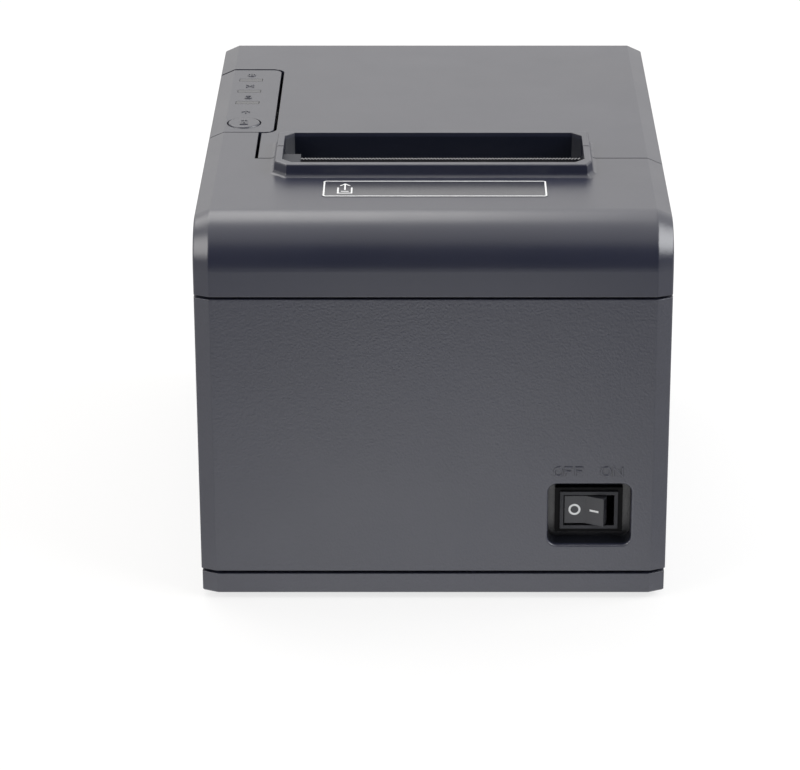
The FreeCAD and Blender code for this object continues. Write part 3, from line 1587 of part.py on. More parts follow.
# Print head: ceramic plate on a finned heat sink that swings on its pin, pushed by two springs
plate_face = "(platen_y-platen_radius-head_gap)"
sink_rear = "(platen_y-platen_radius-head_gap-head_plate)"
sink_front = f"({sink_rear}-head_sink)"
fin_cuts = []
fin_step = "(2*platen_half/head_fins)"
for number in range(int(mm("head_fins")) - 1):
    fin_x = f"-platen_half+{number + 1}*{fin_step}"
    fin_cuts.append(
        block(
            f"fin_gap_{number}",
            about(fin_x, f"{fin_step}-head_fin_width"),
            (f"{sink_front}-wall", f"{sink_front}+head_fin_depth"),
            ("head_low-wall", "head_pivot_z-head_pin_radius-fit_gap"),
        ),
    )
sink_pin = rod(
    "sink_bore", "x", (head_y, "head_pivot_z"), both("platen_half+wall"), "head_pin_radius+run_gap"
)
piece(
    "head_heatsink",
    without(
        "heatsink_solid",
        block("heatsink_block", both("platen_half"), (sink_front, sink_rear), ("head_low", "head_high")),
        sink_pin,
        *fin_cuts,
    ),
)
piece(
    "head_plate",
    block(
        "head_plate_solid",
        both("platen_half"),
        (sink_rear, plate_face),
        ("head_plate_low", "head_plate_high"),
    ),
)


def coil(centre, way, length, radius, wire):
    """A spring: a round wire wound along a direction, flat to its two seats."""
    helix = Part.makeHelix((length - 2 * wire) / mm("spring_turns"), length - 2 * wire, radius)
    section = Part.Wire(Part.makeCircle(wire, FreeCAD.Vector(radius, 0, 0), FreeCAD.Vector(0, 1, 0)))
    solid = Part.Wire(helix).makePipeShell([section], True, True)
    solid.translate(FreeCAD.Vector(0, 0, wire))
    turn = FreeCAD.Rotation(FreeCAD.Vector(0, 0, 1), way)
    return solid.transformGeometry(FreeCAD.Placement(centre, turn).toMatrix())


spring_start = mm("frame_front") + mm("frame_floor")
spring_end = mm("platen_y") - mm("platen_radius") - mm("head_gap") - mm("head_plate") - mm("head_sink")
head_springs = [
    coil(
        FreeCAD.Vector(side * mm("head_spring_x"), spring_start, mm("head_spring_z")),
        FreeCAD.Vector(0, 1, 0),
        spring_end - spring_start,
        mm("head_spring_radius"),
        mm("head_spring_wire"),
    )
    for side in (1, -1)
]
piece("head_springs", drawn("head_spring_pair", Part.makeCompound(head_springs)))

# Cutter: bed with guide rails, sliding blade with its rack, hand gear, motor and motor pinion
bed_rear = "exit_front-fit_gap"
rail_top = f"({blade_low}+blade_thick+blade_gap+rail_lip_thick)"
bed_adds = [
    block("bed_plate", both(plate_outer), ("bed_front", bed_rear), ("plate_top", "plate_top+bed_thick"))
]
for number, side in enumerate((1, -1)):
    wall_x = ("rail_inner", plate_outer) if side > 0 else (minus(plate_outer), "-rail_inner")
    lip_x = ("rail_inner-rail_lip", plate_outer) if side > 0 else (minus(plate_outer), "-rail_inner+rail_lip")
    bed_adds.append(block(f"rail_{number}", wall_x, ("bed_front", bed_rear), ("plate_top", rail_top)))
    bed_adds.append(
        block(
            f"rail_lip_{number}", lip_x, ("bed_front", bed_rear), (f"{rail_top}-rail_lip_thick", rail_top)
        ),
    )
pinion_outer = f"({cutter_pinion_radius}+gear_module)"
piece("cutter_bed", without(
    "bed_solid", joined("bed_body", *bed_adds),
    rod("bed_hole", "z", ("cutter_x", "cutter_y"), ("plate_top-wall", rail_top), f"{pinion_outer}+fit_gap")))


def blade_shape():
    """A flat blade with a shallow vee edge at the rear and a toothed arm at the front."""
    low = mm("plate_top") + mm("bed_thick") + mm("blade_gap")
    half = mm("blade_half")
    tip = mm("exit_front") - mm("blade_back")
    back = tip - mm("blade_depth")
    pitch_x = mm("cutter_x") + module * mm("cutter_pinion_teeth") / 2 + mm("gear_gap")
    far_x = pitch_x + mm("rack_width")
    pitch = math.pi * module
    deep = module * mm("gear_dedendum")
    high = module * mm("gear_addendum")
    valley = pitch_x + deep
    crest = pitch_x - high
    slope = math.tan(math.radians(mm("gear_pressure")))
    thick = pitch / 4 - mm("gear_gap") / 2
    front = back - mm("rack_length")
    outline = [(valley, back)]
    count = int(mm("rack_length") / pitch) + 1
    for i in range(count + 2):
        y = mm("cutter_y") + (int((back - mm("cutter_y")) / pitch) + 0.5 - i) * pitch
        wide_half = thick + deep * slope
        thin_half = thick - high * slope
        if y + wide_half > back or y - wide_half < front:
            continue
        outline += [
            (valley, y + wide_half), (crest, y + thin_half), (crest, y - thin_half), (valley, y - wide_half)
        ]
    outline += [
        (valley, front),
        (far_x, front),
        (far_x, back),
        (half, back),
        (half, tip),
        (0, tip - mm("blade_vee")),
        (-half, tip),
        (-half, back),
    ]
    corners_at = [FreeCAD.Vector(x, y, low) for x, y in outline]
    face = Part.Face(Part.makePolygon(corners_at + [corners_at[0]]))
    return face.extrude(FreeCAD.Vector(0, 0, mm("blade_thick")))


piece("moving_blade", drawn("blade_solid", blade_shape()))
cutter_teeth = int(mm("cutter_teeth"))
small_teeth = int(mm("cutter_pinion_teeth"))
cutter_at = (mm("cutter_x"), mm("cutter_y"))
gear_low = mm("cutter_gear_low")
gear_high = gear_low + mm("cutter_gear_thick")
blade_base = mm("plate_top") + mm("bed_thick") + mm("blade_gap")
bore = mm("axle_radius") + mm("run_gap")
hub = Part.makeCylinder(module * (small_teeth / 2 - mm("gear_dedendum")), blade_base - gear_high,
                        FreeCAD.Vector(*cutter_at, gear_high)).cut(
    Part.makeCylinder(bore, blade_base - gear_high, FreeCAD.Vector(*cutter_at, gear_high)))
piece(
    "cutter_gear",
    drawn(
        "cutter_gear_solid",
        gear_shape(cutter_teeth, -math.pi / 2, "z", cutter_at, (gear_low, gear_high), bore).fuse(
            [
                hub,
                gear_shape(
                    small_teeth, 0, "z", cutter_at, (blade_base, blade_base + mm("blade_thick")), bore
                ),
            ],
        ).removeSplitter(),
    ),
)
reach = module * (cutter_teeth + small_teeth) / 2 + mm("gear_gap")
cutter_motor_at = (cutter_at[0], cutter_at[1] - reach)
cutter_motor_head = gear_low - mm("wall") / 2
cutter_shaft = Part.makeCylinder(
    mm("motor_shaft"),
    gear_high - cutter_motor_head + mm("cutter_motor_length") / 3,
    FreeCAD.Vector(*cutter_motor_at, cutter_motor_head - mm("cutter_motor_length") / 3),
)
piece("cutter_pinion", drawn("cutter_pinion_solid", gear_shape(
    small_teeth, math.pi / 2 + math.pi / small_teeth, "z", cutter_motor_at, (gear_low, gear_high), 0).fuse(
        cutter_shaft).removeSplitter()))
piece(
    "cutter_motor",
    without(
        "cutter_motor_solid",
        rod(
            "cutter_motor_can",
            "z",
            ("cutter_x", cutter_motor_y),
            (f"{shelf_low}+cutter_shelf", cutter_motor_top),
            "cutter_motor_radius",
        ),
        rod(
            "cutter_motor_bearing",
            "z",
            ("cutter_x", cutter_motor_y),
            (f"{cutter_motor_top}-cutter_motor_length/2", FAR),
            "motor_shaft+run_gap",
        ),
    ),
)

# Latch: hook on its pin between the ears, spring at its tail, and the release button in the right wall
arm = ("latch_x-latch_arm/2", "latch_x+latch_arm/2")
latch_span = about("latch_y", "latch_width")
stub_z = ("release_z-fit_gap", "release_z+release_stub")
button_stop = f"({INNER}-release_flange-fit_gap)"
latch_solid = joined(
    "latch_solid",
    block("latch_bar", arm, latch_span, ("latch_tail", "latch_top")),
    block(
        "latch_hook_nose",
        ("latch_x", "latch_x+latch_reach"),
        latch_span,
        ("latch_top-latch_nose", "latch_top"),
    ),
    rod("latch_barrel", "y", ("latch_x", "latch_z"), latch_span, "latch_boss"),
)
piece("latch_hook", without("latch_hook_solid", latch_solid, rod(
    "latch_bore", "y", ("latch_x", "latch_z"), latch_span, "latch_pin_radius+run_gap")))
piece(
    "latch_pin",
    rod(
        "latch_pin_rod",
        "y",
        ("latch_x", "latch_z"),
        about("latch_y", f"2*({ear_inner}+ear_thick)"),
        "latch_pin_radius",
    ),
)
piece(
    "latch_spring",
    drawn(
        "latch_spring_solid",
        coil(
            FreeCAD.Vector(
                mm("latch_x") + mm("latch_arm") / 2,
                mm("latch_y"),
                mm("latch_tail") + mm("latch_spring_radius") + mm("latch_spring_lift"),
            ),
            FreeCAD.Vector(1, 0, 0),
            mm("body_width") / 2 - mm("wall") - mm("latch_x") - mm("latch_arm") / 2,
            mm("latch_spring_radius"),
            mm("latch_spring_wire"),
        ),
    ),
)
release_face = block(
    "release_face",
    (button_stop, f"{HALF}-release_proud"),
    about("latch_y", "release_length"),
    about("release_z", "release_height"),
)
release_soft = rounded("release_soft", release_face, mm("release_height") / 4,
                       lambda edge: abs(edge.Vertexes[0].X - edge.Vertexes[1].X) > mm("wall"))
piece(
    "release_button",
    joined(
        "release_solid",
        release_soft,
        block(
            "release_plate",
            (button_stop, f"{button_stop}+release_flange"),
            about("latch_y", "release_length+2*release_flange_lip"),
            about("release_z", "release_height+2*release_flange_lip"),
        ),
        block(
            "release_stub_block",
            ("latch_x+latch_arm/2+fit_gap", f"{button_stop}+run_gap"),
            about("latch_y", "latch_width/2"),
            stub_z,
        ),
    ),
)

# Main board with its parts, and the four sockets in the rear wall
socket_face = f"({REAR}-socket_inset)"
board_cuts = [
    rod(f"board_hole_{number}", "z", (signed(sx, stand_x), end), ("0", FAR), "screw_radius+screw_clear")
    for number, (sx, end) in enumerate([(sx, end) for sx in (1, -1) for end in board_ends])
]
piece(
    "main_board",
    without(
        "board_solid",
        block("board_plate", both("board_half"), ("board_front", "board_rear"), ("board_z", BOARD_TOP)),
        *board_cuts,
    ),
)
piece("board_screws", group("board_screw_group", *board_screws))


def socket_block(name, x, width, height, length):
    return block(
        name + "_block",
        about(x, width),
        (f"{socket_face}-{length}", socket_face),
        (BOARD_TOP, f"{BOARD_TOP}+{height}"),
    )


usb_middle = f"{BOARD_TOP}+usb_height/2"
piece(
    "usb_socket",
    joined(
        "usb_solid",
        without(
            "usb_shell",
            socket_block("usb", "usb_x", "usb_width", "usb_height", "usb_length"),
            block(
                "usb_mouth",
                about("usb_x", "usb_mouth_width"),
                (f"{socket_face}-usb_mouth_depth", REAR),
                about(usb_middle, "usb_mouth_height"),
            ),
        ),
        block(
            "usb_tongue",
            about("usb_x", "usb_tongue_width"),
            (f"{socket_face}-usb_mouth_depth-wall/2", f"{socket_face}-wall/2"),
            about(usb_middle, "usb_tongue_height"),
        ),
    ),
)
for name in ("network", "drawer"):
    mouth = f"({BOARD_TOP}+mouth_floor+key_height)"
    piece(
        f"{name}_socket",
        without(
            f"{name}_solid",
            socket_block(name, f"{name}_x", f"{name}_width", f"{name}_height", f"{name}_length"),
            block(
                f"{name}_mouth",
                about(f"{name}_x", f"{name}_mouth_width"),
                (f"{socket_face}-{name}_mouth_depth", REAR),
                (mouth, f"{mouth}+{name}_mouth_height"),
            ),
            block(
                f"{name}_key",
                about(f"{name}_x", "key_width"),
                (f"{socket_face}-{name}_mouth_depth", REAR),
                (f"{BOARD_TOP}+mouth_floor", f"{mouth}+wall"),
            ),
        ),
    )
inlet_middle = f"{BOARD_TOP}+inlet_height/2"
inlet_pins = [
    rod(
        f"inlet_pin_{number}",
        "y",
        (f"inlet_x+inlet_pin_circle*cos({angle})", f"{inlet_middle}+inlet_pin_circle*sin({angle})"),
        (f"{socket_face}-inlet_depth-wall/2", f"{socket_face}-inlet_depth+inlet_pin_length"),
        "inlet_pin_radius",
    )
    for number, angle in enumerate((90, 210, 330))
]
piece(
    "power_inlet",
    joined(
        "inlet_solid",
        without(
            "inlet_shell",
            socket_block("inlet", "inlet_x", "inlet_width", "inlet_height", "inlet_length"),
            rod(
                "inlet_mouth",
                "y",
                ("inlet_x", inlet_middle),
                (f"{socket_face}-inlet_depth", REAR),
                "inlet_bore",
            ),
        ),
        *inlet_pins,
    ),
)
parts_y = "(board_front+part_row*2)"
piece(
    "board_chips",
    group(
        "chip_group",
        block(
            "processor",
            about("0", "processor_size"),
            about(f"{parts_y}+2*part_row", "processor_size"),
            (BOARD_TOP, f"{BOARD_TOP}+processor_height"),
        ),
        block(
            "driver_chip",
            about("-part_pitch", "chip_size"),
            about(f"{parts_y}+2*part_row", "chip_size"),
            (BOARD_TOP, f"{BOARD_TOP}+processor_height"),
        ),
        block(
            "memory_chip",
            about("part_pitch", "chip_size"),
            about(f"{parts_y}+2*part_row", "chip_size"),
            (BOARD_TOP, f"{BOARD_TOP}+processor_height"),
        ),
    ),
)
piece(
    "board_capacitors",
    group(
        "capacitor_group",
        *[
            rod(
                f"capacitor_{number}",
                "z",
                (f"{side}*part_pitch/2", parts_y),
                (BOARD_TOP, f"{BOARD_TOP}+capacitor_height"),
                "capacitor_radius",
            )
            for number, side in enumerate((-3, -1, 1, 3))
        ],
    ),
)
piece("buzzer", rod("buzzer_case", "z", ("board_half-part_row", f"{parts_y}+buzzer_row"),
                    (BOARD_TOP, f"{BOARD_TOP}+buzzer_height"), "buzzer_radius"))
ribbon_x = f"(-{INNER}+tongue+fit_gap+ribbon_thick+panel_board_margin*2)"
ribbon_end = "(-board_half+part_row/2)"
ribbon_drop = f"({BOARD_TOP}+part_row/2)"
piece(
    "panel_ribbon",
    prism(
        "ribbon_strip",
        "XZ",
        [
            (ribbon_x, "panel_board_z"),
            (ribbon_x, ribbon_drop),
            (f"{ribbon_end}-ribbon_thick", ribbon_drop),
            (f"{ribbon_end}-ribbon_thick", BOARD_TOP),
            (ribbon_end, BOARD_TOP),
            (ribbon_end, f"{ribbon_drop}+ribbon_thick"),
            (f"{ribbon_x}+ribbon_thick", f"{ribbon_drop}+ribbon_thick"),
            (f"{ribbon_x}+ribbon_thick", "panel_board_z"),
        ],
        about("ribbon_y", "ribbon_width"),
    ),
)

doc.recompute()
faults = [item.Label for item in doc.Objects if "Invalid" in item.State or "Error" in item.State]
for node, thing in pieces:
    if thing.Shape.isNull() or not thing.Shape.isValid() or not thing.Shape.Solids:
        faults.append(node)
if faults:
    raise RuntimeError("not sound: " + ", ".join(faults))
os.makedirs("parts", exist_ok=True)
for node, thing in pieces:
    thing.Shape.exportStep(f"parts/{node}.step")
print(len(pieces), "pieces written")
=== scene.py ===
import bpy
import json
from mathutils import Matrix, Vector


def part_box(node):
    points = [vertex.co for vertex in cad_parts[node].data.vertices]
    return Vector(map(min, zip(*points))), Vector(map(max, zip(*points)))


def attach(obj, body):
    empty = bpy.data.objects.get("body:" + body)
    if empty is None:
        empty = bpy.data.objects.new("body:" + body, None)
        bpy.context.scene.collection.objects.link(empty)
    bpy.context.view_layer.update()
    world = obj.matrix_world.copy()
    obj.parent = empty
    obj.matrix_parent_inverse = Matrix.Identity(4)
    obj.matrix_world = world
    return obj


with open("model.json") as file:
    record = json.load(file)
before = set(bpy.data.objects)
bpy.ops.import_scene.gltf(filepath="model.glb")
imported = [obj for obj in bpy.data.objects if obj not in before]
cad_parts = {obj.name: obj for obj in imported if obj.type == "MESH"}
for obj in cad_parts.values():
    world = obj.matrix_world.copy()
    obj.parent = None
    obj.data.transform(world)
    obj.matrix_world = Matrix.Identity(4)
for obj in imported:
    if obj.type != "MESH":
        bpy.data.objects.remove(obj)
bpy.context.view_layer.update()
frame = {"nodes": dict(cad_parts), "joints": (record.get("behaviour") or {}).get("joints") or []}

import json
import math

import bpy
import numpy as np
from mathutils import Vector


# Base tray: the shallow foot of the case, moulded in the same charcoal plastic as the walls, with a fine
# spark-eroded grain; four long screws pull it up against the housing.
MM = 0.001
CHARCOAL = (0.0155, 0.0178, 0.0355)
PEBBLES_PER_METRE = 1500
DRIFT_PER_METRE = 22
RUBS_PER_METRE = 60
RUB_SHARE = 0.7
GLOSS_SWING = 0.06
EDGE_SOFT = 0.35 * MM
EDGE_SAMPLES = 6
nodes = frame["nodes"]


def value_group(name, inputs, outputs):
    """An empty shader group with number inputs and the named outputs."""
    tree = bpy.data.node_groups.new(name, "ShaderNodeTree")
    for label, start in inputs.items():
        socket = tree.interface.new_socket(label, in_out="INPUT", socket_type="NodeSocketFloat")
        socket.default_value = start
    for label in outputs:
        tree.interface.new_socket(label, in_out="OUTPUT", socket_type="NodeSocketFloat")
    return tree, tree.nodes.new("NodeGroupInput").outputs, tree.nodes.new("NodeGroupOutput").inputs


def feed(tree, socket, value):
    """Joins a socket to another one, or sets it to a plain number or colour."""
    if isinstance(value, bpy.types.NodeSocket):
        tree.links.new(value, socket)
    else:
        socket.default_value = (*value, 1) if socket.type == "RGBA" else value


def math_node(tree, operation, first, second=0):
    """One sum on one or two numbers, each a socket or a plain value."""
    node = tree.nodes.new("ShaderNodeMath")
    node.operation = operation
    feed(tree, node.inputs[0], first)
    feed(tree, node.inputs[1], second)
    return node.outputs[0]


def noise(tree, scale, detail, stretch=None):
    """Noise on Object coordinates, its scale a socket or a number, drawn out along an axis if asked."""
    place = tree.nodes.new("ShaderNodeTexCoord").outputs["Object"]
    if stretch:
        mapping = tree.nodes.new("ShaderNodeMapping")
        mapping.inputs["Scale"].default_value = stretch
        tree.links.new(place, mapping.inputs["Vector"])
        place = mapping.outputs["Vector"]
    node = tree.nodes.new("ShaderNodeTexNoise")
    node.inputs["Detail"].default_value = detail
    tree.links.new(place, node.inputs["Vector"])
    feed(tree, node.inputs["Scale"], scale)
    return node.outputs["Fac"]


def moulded_grain():
    """Height of a pebbled mould face, a slow drift of tone and a rubbed-gloss value over the surface."""
    cells = {"Cells per metre": PEBBLES_PER_METRE}
    tree, given, out = value_group("moulded_grain", cells, ("Height", "Drift", "Rub"))
    pebbles = noise(tree, given["Cells per metre"], 2)
    tree.links.new(pebbles, out["Height"])
    tree.links.new(noise(tree, DRIFT_PER_METRE, 3), out["Drift"])
    rub = math_node(tree, "ADD", math_node(tree, "MULTIPLY", noise(tree, RUBS_PER_METRE, 4), RUB_SHARE),
                    math_node(tree, "MULTIPLY", pebbles, 1 - RUB_SHARE))
    tree.links.new(rub, out["Rub"])
    return tree


GRAIN = moulded_grain()


def blank(name):
    """A new material: its tree and its main shader."""
    material = bpy.data.materials.new(name)
    material.use_nodes = True
    return material, material.node_tree, material.node_tree.nodes["Principled BSDF"]


def placed(tree, group, **given):
    """A group placed in a material with its own values."""
    node = tree.nodes.new("ShaderNodeGroup")
    node.node_tree = group
    for label, value in given.items():
        node.inputs[label.replace("_", " ")].default_value = value
    return node.outputs


def spread(tree, factor, low, high, ends=(0, 1), ease="LINEAR"):
    """A number that goes from low to high while a factor goes from one of its ends to the other."""
    node = tree.nodes.new("ShaderNodeMapRange")
    node.interpolation_type = ease
    node.inputs["From Min"].default_value, node.inputs["From Max"].default_value = ends
    node.inputs["To Min"].default_value, node.inputs["To Max"].default_value = low, high
    tree.links.new(factor, node.inputs["Value"])
    return node.outputs["Result"]


def tint(tree, factor, first, second):
    """A colour between two, led by a factor; each a socket or a plain colour."""
    node = tree.nodes.new("ShaderNodeMix")
    node.data_type = "RGBA"
    tree.links.new(factor, node.inputs["Factor"])
    for socket, colour in zip([end for end in node.inputs if end.type == "RGBA"], (first, second)):
        feed(tree, socket, colour)
    return [end for end in node.outputs if end.type == "RGBA"][0]


def shaded(colour, factor):
    """A colour made darker or lighter by a factor."""
    return tuple(part * factor for part in colour)


def bumped(tree, shader, height, depth, edge=0):
    """Bends the shading normal by a height, over edges softened to a small radius."""
    bump = tree.nodes.new("ShaderNodeBump")
    bump.inputs["Distance"].default_value = depth
    tree.links.new(height, bump.inputs["Height"])
    if edge:
        bevel = tree.nodes.new("ShaderNodeBevel")
        bevel.samples = EDGE_SAMPLES
        bevel.inputs["Radius"].default_value = edge
        tree.links.new(bevel.outputs["Normal"], bump.inputs["Normal"])
    tree.links.new(bump.outputs["Normal"], shader.inputs["Normal"])


def moulded(name, colour, rough, cells, depth, edge=EDGE_SOFT, ior=1.5, contrast=0.12):
    """A moulded plastic: tone drifts over the part, gloss varies with the grain and the grain stands up."""
    material, tree, shader = blank(name)
    grain = placed(tree, GRAIN, Cells_per_metre=cells)
    tree.links.new(tint(tree, grain["Drift"], shaded(colour, 1 - contrast), shaded(colour, 1 + contrast)),
                   shader.inputs["Base Color"])
    gloss = spread(tree, grain["Rub"], rough - GLOSS_SWING, rough + GLOSS_SWING)
    tree.links.new(gloss, shader.inputs["Roughness"])
    shader.inputs["IOR"].default_value = ior
    bumped(tree, shader, grain["Height"], depth, edge)
    return material


def dress(material, *names):
    """Gives the named pieces one material."""
    for name in names:
        for slot in nodes[name].material_slots:
            slot.material = material


WALL_FINISH = dict(rough=0.4, cells=1300, depth=0.1 * MM, ior=2.0)
WALL_PLASTIC = moulded("wall_plastic", CHARCOAL, **WALL_FINISH)
dress(WALL_PLASTIC, "base_tray")


# Rubber feet: four soft black discs, moulded in rubber and pressed into round recesses under the tray, so
# that the printer stays where it stands.
FOOT_RUBBER = moulded("foot_rubber", (0.012, 0.012, 0.0125), 0.78, 900, 0.1 * MM, ior=1.45, contrast=0.3)
dress(FOOT_RUBBER, "rubber_feet")


# Screws: pan heads of zinc-plated steel, turned in from below and inside; a finish with the same drawn
# grain serves the pins, the axles and the sheet steel.
LINES_PER_METRE = 2500
LINE_STRETCH = (0.03, 1, 1)
LINE_DEPTH = 0.01 * MM
STAINS_PER_METRE = 90
STREAK_SWING = 0.1


def drawn_lines():
    """Fine streaks along the way the metal was rolled or drawn, and a slow stain."""
    lines = {"Lines per metre": LINES_PER_METRE}
    tree, given, out = value_group("drawn_lines", lines, ("Streaks", "Stain"))
    tree.links.new(noise(tree, given["Lines per metre"], 2, stretch=LINE_STRETCH), out["Streaks"])
    tree.links.new(noise(tree, STAINS_PER_METRE, 3), out["Stain"])
    return tree


DRAWN = drawn_lines()


def metal(name, colour, rough, lines=LINES_PER_METRE, stain=0.2):
    """A bare metal: streaks set the gloss, a slow stain sets the tone."""
    material, tree, shader = blank(name)
    marks = placed(tree, DRAWN, Lines_per_metre=lines)
    tone = tint(tree, marks["Stain"], shaded(colour, 1 - stain), colour)
    tree.links.new(tone, shader.inputs["Base Color"])
    gloss = spread(tree, marks["Streaks"], rough - STREAK_SWING, rough + STREAK_SWING)
    tree.links.new(gloss, shader.inputs["Roughness"])
    shader.inputs["Metallic"].default_value = 1
    bumped(tree, shader, marks["Streaks"], LINE_DEPTH)
    return material


SHEET_STEEL = metal("sheet_steel", (0.38, 0.38, 0.39), 0.42)
dress(metal("zinc_plate", (0.46, 0.45, 0.42), 0.38, stain=0.35),
      "base_screws", "board_screws", "carrier_screws", "mechanism_screws")
dress(SHEET_STEEL, "hinge_pins", "head_pin", "idler_axle", "latch_pin", "cutter_bed")


# Main board: a green glass laminate screwed to four standoffs, with its chips, capacitors and buzzer
# soldered on; a small board of the same kind sits under the panel, and a flat ribbon joins the two.
MASK_GREEN = (0.006, 0.06, 0.022)
TRACK_GREEN = (0.012, 0.11, 0.042)
MASK_ROUGH = 0.34
TRACK_ROUGH = 0.24
TRACKS_PER_METRE = 420
TRACK_SHARE = 0.12
TRACK_RISE = 0.03 * MM


def laminate(name):
    """Green solder mask over copper tracks: a grid of stepped cells shows as slightly lighter lines."""
    material, tree, shader = blank(name)
    tracks = tree.nodes.new("ShaderNodeTexVoronoi")
    tracks.distance = "CHEBYCHEV"
    tracks.feature = "DISTANCE_TO_EDGE"
    tracks.inputs["Scale"].default_value = TRACKS_PER_METRE
    tree.links.new(tree.nodes.new("ShaderNodeTexCoord").outputs["Object"], tracks.inputs["Vector"])
    copper = math_node(tree, "LESS_THAN", tracks.outputs["Distance"], TRACK_SHARE)
    tree.links.new(tint(tree, copper, MASK_GREEN, TRACK_GREEN), shader.inputs["Base Color"])
    tree.links.new(spread(tree, copper, MASK_ROUGH, TRACK_ROUGH), shader.inputs["Roughness"])
    bumped(tree, shader, copper, TRACK_RISE)
    return material


BLACK_MOULDING = moulded("black_moulding", (0.011, 0.011, 0.0115), 0.5, 2600, 0.03 * MM)
dress(laminate("green_laminate"), "main_board", "panel_board")
dress(BLACK_MOULDING, "board_chips", "buzzer", "tact_switch", "paper_sensor", "cover_switch")
dress(metal("can_aluminium", (0.66, 0.66, 0.67), 0.3), "board_capacitors", "head_heatsink")
dress(moulded("ribbon_film", (0.52, 0.52, 0.5), 0.45, 700, 0.02 * MM), "panel_ribbon")


# Rear sockets: power, cash drawer, network and serial bus, soldered to the board with their mouths in the
# rear wall; the network and drawer sockets have a row of sprung gold-plated wires inside the mouth.
ARCH_POINTS = 9
STROKE_SINK = 0.05 * MM
MITRE_LEAST = 0.4


def stroke(path, width, rise, closed=False, sink=STROKE_SINK):
    """A raised line on a flat surface. At each point of the path the profile stands across the path's own
    normal: a flat-topped arch, width times the cosine across and rise times the root of the sine up, closed
    underneath a little below the surface. Gives one ring of (u, v, up) points for each path point."""
    path = np.asarray(path, float)
    ahead = np.roll(path, -1, 0) - path
    behind = path - np.roll(path, 1, 0)
    if not closed:
        ahead[-1] = behind[-1]
        behind[0] = ahead[0]
    ahead /= np.linalg.norm(ahead, axis=1, keepdims=True)
    behind /= np.linalg.norm(behind, axis=1, keepdims=True)
    along = ahead + behind
    along /= np.linalg.norm(along, axis=1, keepdims=True)
    mitre = np.clip((along * ahead).sum(1, keepdims=True), MITRE_LEAST, 1)
    normal = np.stack([-along[:, 1], along[:, 0]], 1) / mitre
    turn = np.linspace(0, math.pi, ARCH_POINTS)
    offset = np.concatenate([np.cos(turn), [-1, 1]]) * width / 2
    lift = np.concatenate([np.sqrt(np.abs(np.sin(turn))) * rise, [-sink, -sink]])
    flat = path[:, None, :] + normal[:, None, :] * offset[None, :, None]
    return np.concatenate([flat, np.broadcast_to(lift[None, :, None], (*flat.shape[:2], 1))], 2)


def on_surface(rings, origin, across, upward):
    """Carries (u, v, up) points on to a flat place: the origin plus u and v along two directions and up
    along their cross product."""
    axes = np.stack([across, upward, np.cross(across, upward)])
    return np.asarray(origin) + rings @ axes


def new_piece(name, points, faces):
    """An object in the scene from an array of points and the faces that join them."""
    mesh = bpy.data.meshes.new(name)
    mesh.from_pydata(points.tolist(), [], faces)
    mesh.update()
    piece = bpy.data.objects.new(name, mesh)
    bpy.context.scene.collection.objects.link(piece)
    return piece


def solid_of(name, runs):
    """One mesh of many closed or open runs of rings: quads round and along, and end caps on an open run."""
    points, faces, base = [], [], 0
    for rings, closed in runs:
        count, round_ = rings.shape[:2]
        i = np.arange(count if closed else count - 1)[:, None]
        j = np.arange(round_)[None, :]
        after, beside = (i + 1) % count, (j + 1) % round_
        quads = [i * round_ + j, i * round_ + beside, after * round_ + beside, after * round_ + j]
        faces += (np.stack(np.broadcast_arrays(*quads), -1).reshape(-1, 4) + base).tolist()
        if not closed:
            faces.append((np.arange(round_)[::-1] + base).tolist())
            faces.append((np.arange(round_) + base + (count - 1) * round_).tolist())
        points.append(rings.reshape(-1, 3))
        base += count * round_
    return new_piece(name, np.concatenate(points), faces)


def fitted(piece, material, body):
    """A new piece takes its material and rides on its body."""
    piece.data.materials.append(material)
    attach(piece, body)
    return piece


SOCKET_BLACK = moulded("socket_black", (0.013, 0.013, 0.014), 0.42, 2200, 0.04 * MM)
CONTACT_GOLD = metal("contact_gold", (0.83, 0.6, 0.25), 0.26)
dress(SOCKET_BLACK, "network_socket", "drawer_socket", "power_inlet")
dress(metal("tin_shell", (0.62, 0.62, 0.63), 0.3), "usb_socket")
dress(metal("terminal_brass", (0.7, 0.52, 0.22), 0.34), "switch_terminals")
CONTACT_PITCH = 1.02 * MM
CONTACT_WIRE = 0.36 * MM
CONTACT_DROP = 1.3 * MM
CONTACT_ROOT = 5.4 * MM
CONTACT_BEND = 5.5 * MM
CONTACT_TURN = 4.6 * MM
CONTACT_STEP = 0.3 * MM
CONTACT_TIP = 2.2 * MM
for socket, count in (("network_socket", 8), ("drawer_socket", 6)):
    low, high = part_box(socket)
    middle = (low.x + high.x) / 2
    top = high.z - CONTACT_DROP
    root = low.y + CONTACT_ROOT
    spring = [(root, top), (high.y - CONTACT_BEND, top), (high.y - CONTACT_TURN, top - CONTACT_STEP),
              (root + CONTACT_TIP, top - CONTACT_TIP)]
    runs = []
    for number in range(count):
        x = middle + (number - (count - 1) / 2) * CONTACT_PITCH - CONTACT_WIRE / 2
        rings = stroke(spring, CONTACT_WIRE, CONTACT_WIRE, sink=0)
        runs.append((on_surface(rings, (x, 0, 0), (0, 1, 0), (0, 0, 1)), False))
    fitted(solid_of(socket + "_contacts", runs), CONTACT_GOLD, "case")
